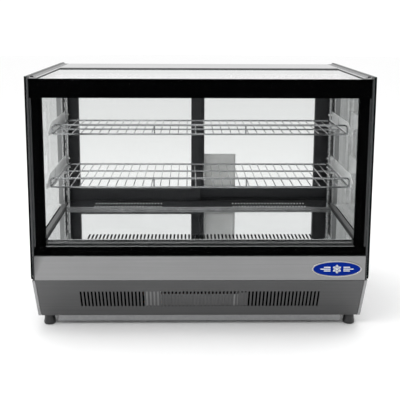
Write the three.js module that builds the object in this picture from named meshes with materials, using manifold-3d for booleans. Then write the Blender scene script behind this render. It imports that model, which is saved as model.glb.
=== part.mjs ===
// Counter-top refrigerated bakery display case, square glass body on a machine base.
// Millimetres, +Z up, +X to the customer's right, front glass towards -Y.
// Origin: centre of the footprint, on the surface the feet stand on.
import * as THREE from 'three';
import { mergeVertices } from 'three/addons/utils/BufferGeometryUtils.js';
import Module from 'manifold-3d';

const wasm = await Module();
wasm.setup();
const { Manifold, Mesh: MMesh } = wasm;

// ---------- driving dimensions ----------
const W = 880;                 // overall width
const D = 560;                 // depth over the glass and the rear panel
const H = 685;                 // overall height, feet to top trims
const XO = W / 2;              // outer face of the side glass
const YF = -D / 2;             // outer face of the front glass
const YR = D / 2 + 2;          // outermost face at the rear
const GAP = 0.3;               // clearance between touching pieces
const SIDE_T = 5;              // side glass thickness
const PANE_T = 5;              // outer front pane
const Z_BASE = 30.8;           // underside of the base body
const Z_KNEE = 153.3;          // bend between lower and upper fascia
const Z_GLASS0 = 219;          // bottom of the front glass
const Z_BAND = 242.5;          // top of the lower black border
const Z_HEAD = 629.5;          // bottom of the black header
const Z_GTOP = 678;            // top of the glass box
const X_BORDER = 400.5;        // inner edge of the black side border
const X_GLASS = 431;           // half width of the front pane
const X_FRAME = 425.5;         // outer edge of the glazing frame
const Y_LOW = -214.7;          // lower edge of the raked fascia
const Z_DECK = 258.8;          // deck surface
const Y_DECK0 = -262;          // deck front edge
const Y_DECK1 = 136;           // deck rear edge
const Y_TOPG = 64;             // rear edge of the top glass
const Y_TREAR = 262;           // rear edge of the top strip
const DOOR_Z0 = 257.6, DOOR_Z1 = 645;
const DOOR_T = 18;
const YD_L = 140, YD_R = 163;  // front faces of the two doors
const SHELF = [
  { name: 'shelf_upper', z: 521, y0: -169, y1: 99 },
  { name: 'shelf_lower', z: 387, y0: -215.5, y1: 99 },
];
const SHELF_X = 394;           // half length of a wire shelf
const WIRE = 2.8, ROD = 4.8;   // cross wires and frame rods
const SLOT_P = 9.7, SLOT_W = 4.7;
const FOOT_X = 411;            // foot axes from the centre plane

// ---------- helpers ----------
const v2 = (a) => a.map(([x, y]) => new THREE.Vector2(x, y));
function solid(geo) {
  const g = geo.index ? geo.toNonIndexed() : geo.clone();
  for (const k of Object.keys(g.attributes)) if (k !== 'position') g.deleteAttribute(k);
  const m = mergeVertices(g, 1e-4);
  return new Manifold(new MMesh({
    numProp: 3,
    vertProperties: new Float32Array(m.attributes.position.array),
    triVerts: new Uint32Array(m.index.array),
  }));
}
function geoOf(man) {
  const m = man.getMesh();
  const g = new THREE.BufferGeometry();
  const p = new Float32Array(m.numVert * 3);
  for (let i = 0; i < m.numVert; i++) for (let k = 0; k < 3; k++) p[3 * i + k] = m.vertProperties[m.numProp * i + k];
  g.setAttribute('position', new THREE.BufferAttribute(p, 3));
  g.setIndex(new THREE.BufferAttribute(new Uint32Array(m.triVerts), 1));
  return g;
}
const box = (x0, x1, y0, y1, z0, z1) =>
  solid(new THREE.BoxGeometry(x1 - x0, y1 - y0, z1 - z0).translate((x0 + x1) / 2, (y0 + y1) / 2, (z0 + z1) / 2));
const BASIS = {
  x: new THREE.Matrix4().makeBasis(new THREE.Vector3(0, 1, 0), new THREE.Vector3(0, 0, 1), new THREE.Vector3(1, 0, 0)),
  y: new THREE.Matrix4().makeBasis(new THREE.Vector3(0, 0, 1), new THREE.Vector3(1, 0, 0), new THREE.Vector3(0, 1, 0)),
  z: new THREE.Matrix4(),
};
// outline coordinates: axis x -> (y, z), axis y -> (z, x), axis z -> (x, y)
function prism(axis, pts, a, b) {
  const s = new THREE.Shape(v2(pts));
  const g = new THREE.ExtrudeGeometry(s, { depth: b - a, bevelEnabled: false, steps: 1, curveSegments: 12 });
  g.applyMatrix4(BASIS[axis]);
  const t = { x: [a, 0, 0], y: [0, a, 0], z: [0, 0, a] }[axis];
  return solid(g.translate(...t));
}
function ringOf(axis, c, r, n) {
  const out = [];
  for (let i = 0; i < n; i++) {
    const t = (2 * Math.PI * (i + 0.5)) / n;
    out.push([c[0] + r * Math.cos(t), c[1] + r * Math.sin(t)]);
  }
  return out;
}
const cyl = (axis, c, r, a, b, n = 24) => prism(axis, ringOf(axis, c, r, n), a, b);
// turned piece about a vertical axis, profile [radius, z] from axis to axis
function turned(x, y, prof, n = 24) {
  const g = new THREE.LatheGeometry(v2(prof), n);
  g.rotateX(Math.PI / 2);
  return solid(g.translate(x, y, 0));
}
const union = (list) => list.slice(1).reduce((a, b) => a.add(b), list[0]);
const cut = (a, list) => list.reduce((m, b) => m.subtract(b), a);
const mirrorX = (man) => {
  const g = geoOf(man);
  const p = g.attributes.position.array;
  for (let i = 0; i < p.length; i += 3) p[i] = -p[i];
  const ix = g.index.array;
  for (let i = 0; i < ix.length; i += 3) { const t = ix[i]; ix[i] = ix[i + 1]; ix[i + 1] = t; }
  return solid(g);
};

const root = new THREE.Group();
const LOOK = {
  brushed: [0xa9abad, 0.34, 0.95], dark: [0x626365, 0.42, 0.9], mirror: [0xc9cacc, 0.12, 1], galv: [0x9c9fa0, 0.5, 0.8],
  black: [0x060607, 0.3, 0], rubber: [0x141414, 0.75, 0], glass: [0xe9f0ef, 0.05, 0], frame: [0x1c1d1f, 0.4, 0.2],
  alu: [0x85878a, 0.35, 0.9], chrome: [0xd6d8da, 0.14, 1], white: [0xf2f2ee, 0.5, 0], diffuser: [0xfbfbf6, 0.6, 0],
  blue: [0x0a3aa0, 0.3, 0], foam: [0xd8d6cc, 0.85, 0], copper: [0xb06a3c, 0.35, 1], iron: [0x17181a, 0.55, 0.4],
  fins: [0xb9bcbe, 0.45, 0.9], plastic: [0x1b1b1d, 0.5, 0], display: [0x200506, 0.2, 0], red: [0x9c1414, 0.4, 0],
  green: [0x1c7a3a, 0.4, 0],
};
function piece(name, man, look, parent = root) {
  const [color, roughness, metalness] = LOOK[look];
  const mat = new THREE.MeshStandardMaterial({ color, roughness, metalness });
  if (look === 'glass') { mat.transparent = true; mat.opacity = 0.3; }
  const m = new THREE.Mesh(geoOf(man), mat);
  m.name = name;
  parent.add(m);
  return m;
}
const pair = (name, man, look) => { piece(name + '_right', man, look); piece(name + '_left', mirrorX(man), look); };

// ---------- machine base ----------
// raked front direction, used by everything parallel to the lower fascia
const rake = new THREE.Vector2(Y_LOW - YF, Z_BASE - Z_KNEE).normalize();   // down the slope (y, z)
const rn = new THREE.Vector2(-rake.y, rake.x);                              // inward normal (y, z), points rearward and up
const onRake = (s, d) => [YF + rake.x * s + rn.x * d, Z_KNEE + rake.y * s + rn.y * d];
const RAKE_L = Math.hypot(Y_LOW - YF, Z_BASE - Z_KNEE);

// side panels: folded sheet, return flange along the raked edge
{
  const t = 2;
  const outline = [[YF + 0.5, Z_KNEE - 0.6], [Y_LOW, Z_BASE], [YR - 3, Z_BASE], [YR - 3, Z_GLASS0 - 3], [YF + 30, Z_GLASS0 - 3], [YF + 30, Z_KNEE - 0.6]];
  const sheet = prism('x', outline.slice(0, 3).concat([[YR - 3, Z_KNEE - 0.6]]), XO - 4.6, XO - 4.6 + t);
  const flange = prism('x', [onRake(1.2, 0), onRake(RAKE_L, 0), onRake(RAKE_L, 1.8), onRake(1.2, 1.8)], XO - 10, XO - 4.6 + t);
  const foot = box(XO - 14, XO - 3, Y_LOW + 4, YR - 3, Z_BASE, Z_BASE + t);
  const upper = prism('x', [[YF + 22, Z_KNEE - 2], [YR - 3, Z_KNEE - 2], [YR - 3, Z_GLASS0 - 2], [YF + 22, Z_GLASS0 - 2]], XO - 8.4, XO - 5.4);
  const tie = box(XO - 8.4, XO - 3, YF + 22, YR - 3, Z_KNEE - 5, Z_KNEE - 2);
  pair('base_side', union([sheet, flange, foot, tie, upper]), 'brushed');
}
// bottom pan: folded tray with front and rear stiffening rails
{
  const plate = box(-425.4, 425.4, Y_LOW + 12, YR - 4, Z_BASE + 2.4, Z_BASE + 4.4);
  const rail = (y0, y1) => union([
    box(-385, 385, y0, y0 + 2, 11.5, Z_BASE + 4.4), box(-385, 385, y1 - 2, y1, 11.5, Z_BASE + 4.4), box(-385, 385, y0, y1, 11.5, 13.5)]);
  const holes = [];
  for (const sx of [-1, 1]) for (const y of [-192, 236]) holes.push(cyl('z', [sx * FOOT_X, y], 5.6, 20, 50, 20));
  piece('base_pan', cut(union([plate, rail(-205, -170), rail(214, 250)]), holes), 'galv');
}
// levelling feet
for (const [n, x, y] of [['foot_front_left', -FOOT_X, -192], ['foot_front_right', FOOT_X, -192], ['foot_rear_left', -FOOT_X, 236], ['foot_rear_right', FOOT_X, 236]])
  piece(n, turned(x, y, [[0, 0], [16, 0], [17, 1.4], [17, 9], [12.6, 12.5], [12.2, 32.9], [5.1, 32.9], [5.1, 52], [0, 53]], 18), 'rubber');

// lower fascia: raked sheet with a row of vertical air slots
{
  const d0 = 0.0, d1 = 1.6;
  const sheet = prism('x', [onRake(1.4, d0), onRake(RAKE_L, d0), onRake(RAKE_L, d1 + 7), onRake(RAKE_L - 1.6, d1 + 7), onRake(RAKE_L - 1.6, d1), onRake(1.4, d1)], -429, 429);
  const s0 = (Z_KNEE - 115) / -rake.y, s1 = (Z_KNEE - 63) / -rake.y;
  const n = 66, slots = [];
  for (let i = 0; i < n; i++) {
    const x = (i - (n - 1) / 2) * SLOT_P - 0.5;
    slots.push(prism('x', [onRake(s0, -3), onRake(s1, -3), onRake(s1, 5), onRake(s0, 5)], x - SLOT_W / 2, x + SLOT_W / 2));
  }
  piece('lower_fascia', cut(sheet, slots), 'dark');
}
// upper fascia: flat band between the black border and the bend
{
  const z0 = Z_KNEE, z1 = Z_GLASS0 - GAP;
  const band = prism('x', [[YF, z1 - 0.8], [YF, z0 + 0.5], [YF + 0.5, z0], [YF + 1.6, z0], [YF + 1.6, z1 - 1.6], [YF + 16, z1 - 1.6], [YF + 16, z1], [YF + 0.8, z1]], -430.5, 430.5);
  const returns = [-430.5, 428.9].map((x) => box(x, x + 1.6, YF + 1, YF + 16, z0 + 3, z1));
  piece('upper_fascia', union([band, ...returns]), 'brushed');
}
// blank oval badge
{
  const cx = 356, cz = 184, a = 66, b = 23;
  const oval = (ra, rb, n = 48) => { const o = []; for (let i = 0; i < n; i++) { const t = (2 * Math.PI * i) / n; o.push([cz + rb * Math.sin(t), cx + ra * Math.cos(t)]); } return o; };
  const body = prism('y', oval(a, b), YF - 0.0 - 2.0 + 0.0, YF - GAP);
  piece('badge_plate', body, 'blue');
}
// rear panel with louvres and cut-outs for the control and the lead
{
  const y0 = YR - 2, y1 = YR - 0.4;
  const zl = 253, a = 134.5, b = 186.2;            // ledge behind the doors, stepped down under the door sill
  const ledge = prism('x', [[a, 243.2], [b, 243.2], [b, zl - 1.6], [y1, zl - 1.6], [y1, zl], [b - 1.6 + 0.6, zl], [b - 1.6 + 0.6, 244.8], [a, 244.8]], -434, 434);
  const sheet = union([box(-438, 438, y0, y1, Z_BASE + 1, zl), ledge]);
  const cuts = [];
  for (let r = 0; r < 7; r++) for (let c = 0; c < 4; c++) {
    const x = -392 + c * 86, z = 60 + r * 15;
    cuts.push(box(x, x + 74, y0 - 3, y1 + 3, z, z + 5));
  }
  for (let r = 0; r < 7; r++) { const z = 60 + r * 15; cuts.push(box(300, 400, y0 - 3, y1 + 3, z, z + 5)); }
  cuts.push(box(70, 232, y0 - 3, y1 + 3, 150, 204));
  cuts.push(cyl('y', [66, 150], 11.3, y0 - 3, y1 + 3, 24));
  piece('rear_panel', cut(sheet, cuts), 'brushed');
}
// controller: bezel, display window, push buttons, two rocker switches
const yc = YR;                       // outermost face
{
  const plate = box(70.6, 231.4, YR - 12, YR, 150.6, 203.4);
  const cuts = [
    box(74, 228, YR - 20, YR - 4, 154, 200),
    box(80, 116, YR - 20, YR + 3, 168, 194),
    box(122, 132, YR - 20, YR + 3, 183, 193), box(138, 148, YR - 20, YR + 3, 183, 193),
    box(138, 148, YR - 20, YR + 3, 167, 177),
    box(160, 181.6, YR - 20, YR + 3, 162, 192), box(194, 215.6, YR - 20, YR + 3, 162, 192),
  ];
  piece('control_bezel', cut(plate, cuts), 'plastic');
  piece('control_display', box(80.4, 115.6, YR - 3.8, YR - 1.2, 168.4, 193.6), 'display');
  for (const [n, x, z] of [['button_set', 122, 183], ['button_up', 138, 183], ['button_down', 138, 167]])
    piece(n, union([box(x + 0.5, x + 9.5, YR - 9, YR - 0.2, z + 0.5, z + 9.5)]), 'rubber');
  const rocker = (x) => {
    const c = 177, o = [[c - 13.6, YR - 0.3], [c, YR - 2.2], [c + 13.6, YR - 1.6], [c + 12, YR - 9.5], [c, YR - 13], [c - 12, YR - 9.5]];
    return prism('x', o.map(([z, y]) => [y, z]).reverse(), x + 0.4, x + 21.2);
  };
  piece('switch_power', rocker(160), 'red');
  piece('switch_light', rocker(194), 'green');
}
piece('cord_inlet', cut(union([cyl('y', [66, 150], 11, YR - 16, YR - 0.1, 24)]), [cyl('y', [66, 150], 4.4, YR - 30, YR + 3, 16)]), 'rubber');

// ---------- insulated well under the deck ----------
{
  const o = box(-424, 424, -252, 133, 172, 252.5);
  const spout = cyl('z', [-372, 96], 9, 70, 180, 20);
  piece('insulated_well', cut(o.add(spout), [box(-398, 398, -230, 113, 190, 260), cyl('z', [-372, 96], 6.5, 60, 200, 20)]), 'foam');
  piece('evaporator_coil', box(-250, 250, 22, 106, 194, 246), 'fins');
  const fx = 120;
  const plate = box(-380, 380, -104, 14, 238, 240);
  const ringc = [fx, -45];
  const frame = union([box(fx - 56, fx + 56, -101, 11, 212, 240)]);
  const body = cut(union([plate, frame]), [cyl('z', ringc, 53, 214.5, 260, 24), cyl('z', ringc, 46, 200, 230, 24)]);
  const spider = union([box(fx - 55, fx + 55, -48, -42, 212, 214.5), box(fx - 3, fx + 3, -100, 10, 212, 214.5), cyl('z', ringc, 17, 212, 218, 12)]);
  piece('evaporator_fan_frame', union([body, spider]), 'plastic');
  const blades = [cyl('z', ringc, 17.5, 219, 234, 14)];
  for (let k = 0; k < 7; k++) {
    const b = solid(new THREE.BoxGeometry(34, 2, 15).rotateX(0.75).translate(33, 0, 0).rotateZ((k * 2 * Math.PI) / 7).translate(fx, -45, 226.5));
    blades.push(b);
  }
  piece('evaporator_fan', union(blades), 'plastic');
}
piece('drain_tray', cut(box(-412, -250, 20, 190, 36, 62), [box(-409, -253, 23, 187, 39, 70)]), 'galv');

// ---------- condensing unit ----------
piece('condenser_coil', box(-160, 88, -178, -146, 36, 150), 'fins');
{
  const c = [94, -36], y0 = -140, y1 = -112;               // (z, x) of the fan axis
  const shroud = cut(union([box(-160, 88, y0, y0 + 2, 38, 150), prism('y', ringOf('y', c, 54, 24), y0, y1)]), [cyl('y', c, 51.3, y0 - 2, y1 + 2, 24)]);
  const spider = union([box(-90, 18, y1 - 3, y1, 91, 97), box(-39, -33, y1 - 3, y1, 41, 147), cyl('y', c, 19, y1 - 3, y1 + 20, 14)]);
  piece('condenser_fan_frame', union([shroud, spider]), 'plastic');
  const blades = [cyl('y', c, 17, -131, -116.5, 14)];
  for (let k = 0; k < 5; k++) {
    const g = new THREE.BoxGeometry(32, 13, 2.2).rotateX(0.6).translate(32, 0, 0).rotateY((k * 2 * Math.PI) / 5 + 0.2).translate(-36, -124, 94);
    blades.push(solid(g));
  }
  piece('condenser_fan', union(blades), 'plastic');
}
// hermetic compressor on its feet plate
{
  const cx = 230, cy = 10;
  const shell = turned(cx, cy, [[0, 48], [40, 50], [62, 60], [70, 76], [70, 101], [71.5, 102], [71.5, 106], [69.5, 107], [68, 130], [50, 152], [0, 159]], 20);
  const plate = box(cx - 100, cx + 100, cy - 62, cy + 62, 43, 46);
  const posts = [[-84, -48], [84, -48], [-84, 48], [84, 48]].map(([a, b]) => cyl('z', [cx + a, cy + b], 9, 35.6, 44, 16));
  const neck = cyl('z', [cx, cy], 44, 44, 56, 24);
  piece('compressor', union([shell, plate, neck, ...posts]), 'iron');
}

// ---------- glass body ----------
// front double glazing: outer pane, black glazing frame, inner pane
piece('front_glass', box(-X_GLASS, X_GLASS, YF, YF + PANE_T, Z_GLASS0, Z_GTOP), 'glass');
piece('glazing_frame', cut(box(-X_FRAME, X_FRAME, YF + PANE_T + GAP, YF + 18, Z_GLASS0, Z_GTOP - 5.4), [box(-X_BORDER, X_BORDER, YF, YF + 30, Z_BAND, Z_HEAD)]), 'black');
piece('front_glass_inner', box(-X_BORDER + GAP, X_BORDER - GAP, YF + 13, YF + 17, Z_BAND + GAP, Z_HEAD - GAP), 'glass');
// side panes run down to the bend
{
  const o = [];
  const r = 12, z0 = Z_KNEE + 0.3, y0 = YF + 0.3;
  o.push([y0, H - 1], [y0, z0 + r]);
  for (let k = 1; k <= 6; k++) { const t = (k * Math.PI) / 12; o.push([y0 + r - r * Math.cos(t), z0 + r - r * Math.sin(t)]); }
  o.push([Y_TREAR, z0], [Y_TREAR, H - 1]);
  pair('side_glass', prism('x', o.reverse(), XO - SIDE_T, XO), 'glass');
}
// aluminium corner extrusions behind the joint of front and side panes
pair('corner_profile', union([
  box(X_GLASS + GAP, XO - SIDE_T - GAP, YF + 0.8, YF + 20, Z_GLASS0 + GAP, Z_GTOP - 0.2),
  box(X_FRAME + GAP, XO - SIDE_T - GAP, YF + PANE_T + 0.6, YF + 20, Z_GLASS0 + GAP, Z_GTOP - 5.6),
]), 'alu');
// top: glass lid, gasket, stainless rear strip, side trims
piece('top_glass', box(-424.6, 424.6, YF + PANE_T + GAP + 0.4, Y_TOPG, Z_GTOP - 5, Z_GTOP), 'glass');
piece('top_gasket', box(-408.8, 408.8, Y_TOPG + GAP, Y_TOPG + 5, Z_GTOP - 7, Z_GTOP + 0.6), 'rubber');
{
  const y0 = Y_TOPG + 5.3, y1 = Y_TREAR, t = 1.8, zt = 681;
  const skin = prism('x', [[y0, zt - 12], [y0, zt - 1], [y0 + 1, zt], [y1 - 1, zt], [y1, zt - 1], [y1, zt - 40], [y1 - t, zt - 40], [y1 - t, zt - t], [y0 + t, zt - t], [y0 + t, zt - 12]], -408.8, 408.8);
  piece('rear_top_panel', skin, 'brushed');
}
{
  const x0 = 409.2, x1 = XO - SIDE_T - GAP, z0 = Z_GTOP + GAP;
  const prof = [[z0, x0], [z0, x1], [H - 0.7, x1], [H, x1 - 0.7], [H, x1 - 5], [H - 0.6, x1 - 6], [z0 + 3.4, x1 - 9.5], [z0 + 2.2, x0 + 6], [z0 + 1.6, x0]];
  const rail = prism('y', prof, YF + 4, Y_TREAR);
  const leg = box(425.2, 427.2, YF + 22, Y_TREAR, Z_GTOP - 14, z0 + 1.8);
  pair('side_trim', union([rail, leg]), 'brushed');
}

// ---------- rear door frame ----------
pair('rear_post', cut(union([box(412, 434.4, 132, Y_TREAR - 2.2, 253.5, 662)]), [box(414, 432.4, 134, Y_TREAR + 3, 240, 690)]), 'brushed');
{
  const a = YD_L - 4, b = YD_R + DOOR_T + 3.8;
  const sill = cut(box(-411.6, 411.6, a, b, 245.8, DOOR_Z0 + 5), [
    box(-420, 420, YD_L - 0.6, YD_L + DOOR_T + 0.6, DOOR_Z0 - 0.6, 300), box(-420, 420, YD_R - 0.6, YD_R + DOOR_T + 0.6, DOOR_Z0 - 0.6, 300)]);
  piece('door_sill', sill, 'frame');
  const head = cut(box(-411.6, 411.6, a, b, DOOR_Z1 - 8, 668), [
    box(-420, 420, YD_L - 0.6, YD_L + DOOR_T + 0.6, 600, DOOR_Z1 + 9), box(-420, 420, YD_R - 0.6, YD_R + DOOR_T + 0.6, 600, DOOR_Z1 + 9)]);
  piece('door_track_top', head, 'frame');
}
// sliding doors: frame, pane
function door(name, x0, x1, sl, sr, y) {
  const zi0 = DOOR_Z0 + 42, zi1 = DOOR_Z1 - 30;
  const fr = cut(box(x0, x1, y, y + DOOR_T, DOOR_Z0, DOOR_Z1), [
    box(x0 + sl, x1 - sr, y - 5, y + DOOR_T + 5, zi0, zi1),
    box(x0 + sl - 8, x1 - sr + 8, y + 5, y + 11, zi0 - 8, zi1 + 8)]);
  const hx = name === 'door_left' ? [x0 + 9, x0 + sl - 9] : [x1 - sr + 9, x1 - 9];
  const pull = box(hx[0], hx[1], y + DOOR_T - 6, y + DOOR_T + 4, 400, 500);
  piece(name + '_frame', cut(fr, [pull]), 'frame');
  piece(name + '_glass', box(x0 + sl - 7.6, x1 - sr + 7.6, y + 5.3, y + 10.7, zi0 - 7.6, zi1 + 7.6), 'glass');
}
door('door_left', -409, 6, 40, 29, YD_L);
door('door_right', -20, 409, 38, 46, YD_R);

// ---------- interior ----------
// slotted standards for the shelf brackets
{
  const x0 = 398, x1 = 417, y0 = 112, y1 = 128;
  const bar = cut(box(x0, x1, y0, y1, Z_DECK + GAP, 655), [box(x0 + 2, x1 - 2, y0 + 2, y1 + 5, 200, 700)]);
  const slots = [];
  for (let k = 0; k < 15; k++) { const z = 282 + k * 25; slots.push(box(x0 + 6.6, x0 + 12.4, y0 - 3, y0 + 4, z, z + 15)); }
  pair('shelf_standard', cut(bar, slots), 'brushed');
}
// cantilever brackets: upright plate with a ledge that carries the shelf ends
for (const [nm, z, y0] of [['upper', 521, -158], ['lower', 387, -204]]) {
  const o = [[111.6, z + 25], [y0 + 40, z + 25], [y0, z + 6], [y0, z - 7], [20, z - 12], [96, z - 30], [111.6, z - 30]];
  const plate = prism('x', o, 404.6, 407.4);
  const ledge = box(397.2, 406, y0 + 6, 104, z - 4.6, z - 2.8);
  const zh = 282 + Math.floor((z - 6 - 282) / 25) * 25;
  const hook = (zz) => prism('x', [[110, zz + 1], [115.6, zz + 1], [115.6, zz + 8], [110, zz + 12]], 404.8, 407.2);
  pair('bracket_' + nm, union([plate, ledge, hook(zh)]), 'brushed');
}
// wire shelves with a front retaining rail
for (const s of SHELF) {
  const z = s.z, parts = [];
  const rod = (y, zz, r = ROD) => box(-SHELF_X, SHELF_X, y - r / 2, y + r / 2, zz - r / 2, zz + r / 2);
  const dz = z + ROD / 2 + WIRE / 2 - 0.6;                 // cross wires sit on the long rods
  const y0 = s.y0, y1 = s.y1, L = y1 - y0;
  for (const f of [0, 1 / 3, 2 / 3, 1]) parts.push(rod(y0 + ROD / 2 + (L - ROD) * f, z));
  for (const sx of [-1, 1]) parts.push(box(sx * SHELF_X - ROD / 2, sx * SHELF_X + ROD / 2, y0, y1, z - ROD / 2, z + ROD / 2));
  const n = 27;
  const wires = [];
  for (let i = 0; i <= n; i++) { const x = -SHELF_X + 13 + (i * (2 * SHELF_X - 26)) / n; wires.push(box(x - WIRE / 2, x + WIRE / 2, y0 + 0.4, y1 - 0.4, dz - WIRE / 2, dz + WIRE / 2)); }
  const zr = z + 24;
  parts.push(rod(y0 + ROD / 2, zr));
  for (const x of [-SHELF_X, -122, 122, SHELF_X]) parts.push(box(x - ROD / 2, x + ROD / 2, y0, y0 + ROD, z, zr + ROD / 2));
  piece(s.name, union([...parts, ...wires]), 'chrome');
}
// lift-out deck: folded sheet with front air slots, a low raised platform and rear return holes
{
  const t = 1.6, zt = Z_DECK;
  const ya = Y_DECK0, yb = Y_DECK1 - 1;
  const prof = [[ya, zt - 16], [ya, zt], [40, zt], [41, zt + 8], [90, zt + 8], [92, zt], [yb, zt],
    [yb, zt - t], [90.7, zt - t], [88.7, zt + 8 - t], [42.4, zt + 8 - t], [41.6, zt - t], [ya + t, zt - t], [ya + t, zt - 16]];
  const sheet = prism('x', prof, -396.5, 396.5);
  const cuts = [];
  const n = 61;
  for (let i = 0; i < n; i++) { const x = (i - (n - 1) / 2) * 9.75; cuts.push(box(x - 2.3, x + 2.3, -260, -216, zt - 5, zt + 5)); }
  for (const y of [73, 112]) for (const g of [-1, 1]) for (let i = 0; i < 9; i++) {
    const x = g * 196 + (i - 4) * 24; cuts.push(box(x - 8, x + 8, y - 2.4, y + 2.4, zt - 8, zt + 12));
  }
  piece('deck_panel', cut(sheet, cuts), 'mirror');
}
// lamp behind the header
piece('lamp_housing', cut(prism('x', [[YF + 18.4, 672], [YF + 18.4, 640], [YF + 50, 648], [YF + 50, 672]], -380, 380), [prism('x', [[YF + 21, 636], [YF + 21, 660], [YF + 46, 660], [YF + 46, 636]], -377, 377)]), 'alu');
piece('lamp_diffuser', prism('x', [[YF + 21.6, 643.2], [YF + 45.4, 649.4], [YF + 45.4, 656], [YF + 21.6, 656]], -376.4, 376.4), 'diffuser');

export default root;
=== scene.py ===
import bpy, bmesh, math, random
from mathutils import Vector, Matrix, noise

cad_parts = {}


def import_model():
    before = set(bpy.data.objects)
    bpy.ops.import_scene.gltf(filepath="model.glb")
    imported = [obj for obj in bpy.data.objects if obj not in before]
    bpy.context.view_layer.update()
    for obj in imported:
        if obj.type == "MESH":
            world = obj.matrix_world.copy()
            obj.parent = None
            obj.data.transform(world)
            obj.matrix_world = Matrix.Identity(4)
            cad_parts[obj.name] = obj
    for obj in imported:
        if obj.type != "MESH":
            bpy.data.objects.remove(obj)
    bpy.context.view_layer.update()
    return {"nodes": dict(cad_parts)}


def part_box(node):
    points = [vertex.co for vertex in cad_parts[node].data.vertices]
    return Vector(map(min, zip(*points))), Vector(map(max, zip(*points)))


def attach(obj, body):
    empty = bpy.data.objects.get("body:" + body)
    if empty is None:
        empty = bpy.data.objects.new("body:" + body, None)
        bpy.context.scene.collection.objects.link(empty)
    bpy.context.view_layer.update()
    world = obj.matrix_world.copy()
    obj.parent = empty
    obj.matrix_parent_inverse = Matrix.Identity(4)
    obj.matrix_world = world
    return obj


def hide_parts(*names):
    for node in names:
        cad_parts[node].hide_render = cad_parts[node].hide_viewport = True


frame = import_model()
N = frame["nodes"]
RNG = random.Random(24)
SCN = bpy.context.scene
mm = 0.001

# ----------------------------------------------------------------------------- materials
def _new(name):
    m = bpy.data.materials.new(name)
    m.use_nodes = True
    nt = m.node_tree
    nt.nodes.clear()
    out = nt.nodes.new("ShaderNodeOutputMaterial")
    return m, nt, out


def _coord(nt, scale=(1, 1, 1), rot=(0, 0, 0)):
    tc = nt.nodes.new("ShaderNodeTexCoord")
    mp = nt.nodes.new("ShaderNodeMapping")
    mp.inputs["Scale"].default_value = scale
    mp.inputs["Rotation"].default_value = rot
    nt.links.new(tc.outputs["Object"], mp.inputs["Vector"])
    return mp.outputs["Vector"]


def _noise(nt, vec, scale, detail=3.0, rough=0.55, dist=0.0):
    n = nt.nodes.new("ShaderNodeTexNoise")
    n.inputs["Scale"].default_value = scale
    n.inputs["Detail"].default_value = detail
    n.inputs["Roughness"].default_value = rough
    n.inputs["Distortion"].default_value = dist
    nt.links.new(vec, n.inputs["Vector"])
    return n.outputs["Fac"]


def _range(nt, fac, lo, hi, a=0.3, b=0.7):
    r = nt.nodes.new("ShaderNodeMapRange")
    r.inputs["From Min"].default_value = a
    r.inputs["From Max"].default_value = b
    r.inputs["To Min"].default_value = lo
    r.inputs["To Max"].default_value = hi
    nt.links.new(fac, r.inputs["Value"])
    return r.outputs["Result"]


def _mixcol(nt, fac, c0, c1, blend="MIX"):
    m = nt.nodes.new("ShaderNodeMix")
    m.data_type = "RGBA"
    m.blend_type = blend
    for sock, c in ((m.inputs[6], c0), (m.inputs[7], c1)):
        if isinstance(c, tuple):
            sock.default_value = (*c, 1)
        else:
            nt.links.new(c, sock)
    if isinstance(fac, float):
        m.inputs[0].default_value = fac
    else:
        nt.links.new(fac, m.inputs[0])
    return m.outputs[2]


def _bump(nt, height, strength, distance):
    b = nt.nodes.new("ShaderNodeBump")
    b.inputs["Strength"].default_value = strength
    b.inputs["Distance"].default_value = distance
    nt.links.new(height, b.inputs["Height"])
    return b.outputs["Normal"]


def _add(nt, a, b, op="ADD"):
    m = nt.nodes.new("ShaderNodeMath")
    m.operation = op
    for i, v in enumerate((a, b)):
        if isinstance(v, (int, float)):
            m.inputs[i].default_value = v
        else:
            nt.links.new(v, m.inputs[i])
    return m.outputs[0]


def brushed(name, color, direction="x", rough=(0.26, 0.40), streak=0.10, smudge=0.08, bump=0.05, aniso=0.0):
    """Sheet steel: long fine scratches along one axis, faint handling marks, small colour drift."""
    m, nt, out = _new(name)
    p = nt.nodes.new("ShaderNodeBsdfPrincipled")
    nt.links.new(p.outputs[0], out.inputs[0])
    sc = {"x": (2.0, 260, 260), "y": (260, 2.0, 260), "z": (260, 260, 2.0)}[direction]
    fine = {"x": (9.0, 1900, 1900), "y": (1900, 9.0, 1900), "z": (1900, 1900, 9.0)}[direction]
    s1 = _noise(nt, _coord(nt, sc), 1.0, 4.0, 0.62)
    s2 = _noise(nt, _coord(nt, fine), 1.0, 2.0, 0.5)
    marks = _noise(nt, _coord(nt), 7.0, 4.0, 0.6, 0.4)
    c = tuple(color)
    lo = tuple(x * (1 - streak) for x in c)
    hi = tuple(min(1, x * (1 + streak)) for x in c)
    col = _mixcol(nt, _range(nt, s1, 0, 1), lo, hi)
    col = _mixcol(nt, _range(nt, marks, 0, smudge, 0.42, 0.75), col, tuple(x * 0.72 for x in c))
    nt.links.new(col, p.inputs["Base Color"])
    r = _range(nt, s2, rough[0], rough[1], 0.25, 0.75)
    r = _add(nt, r, _range(nt, marks, 0.0, 0.06, 0.45, 0.8))
    nt.links.new(r, p.inputs["Roughness"])
    p.inputs["Metallic"].default_value = 1.0
    nt.links.new(_bump(nt, _add(nt, s1, s2), bump, 0.0002), p.inputs["Normal"])
    return m


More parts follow.
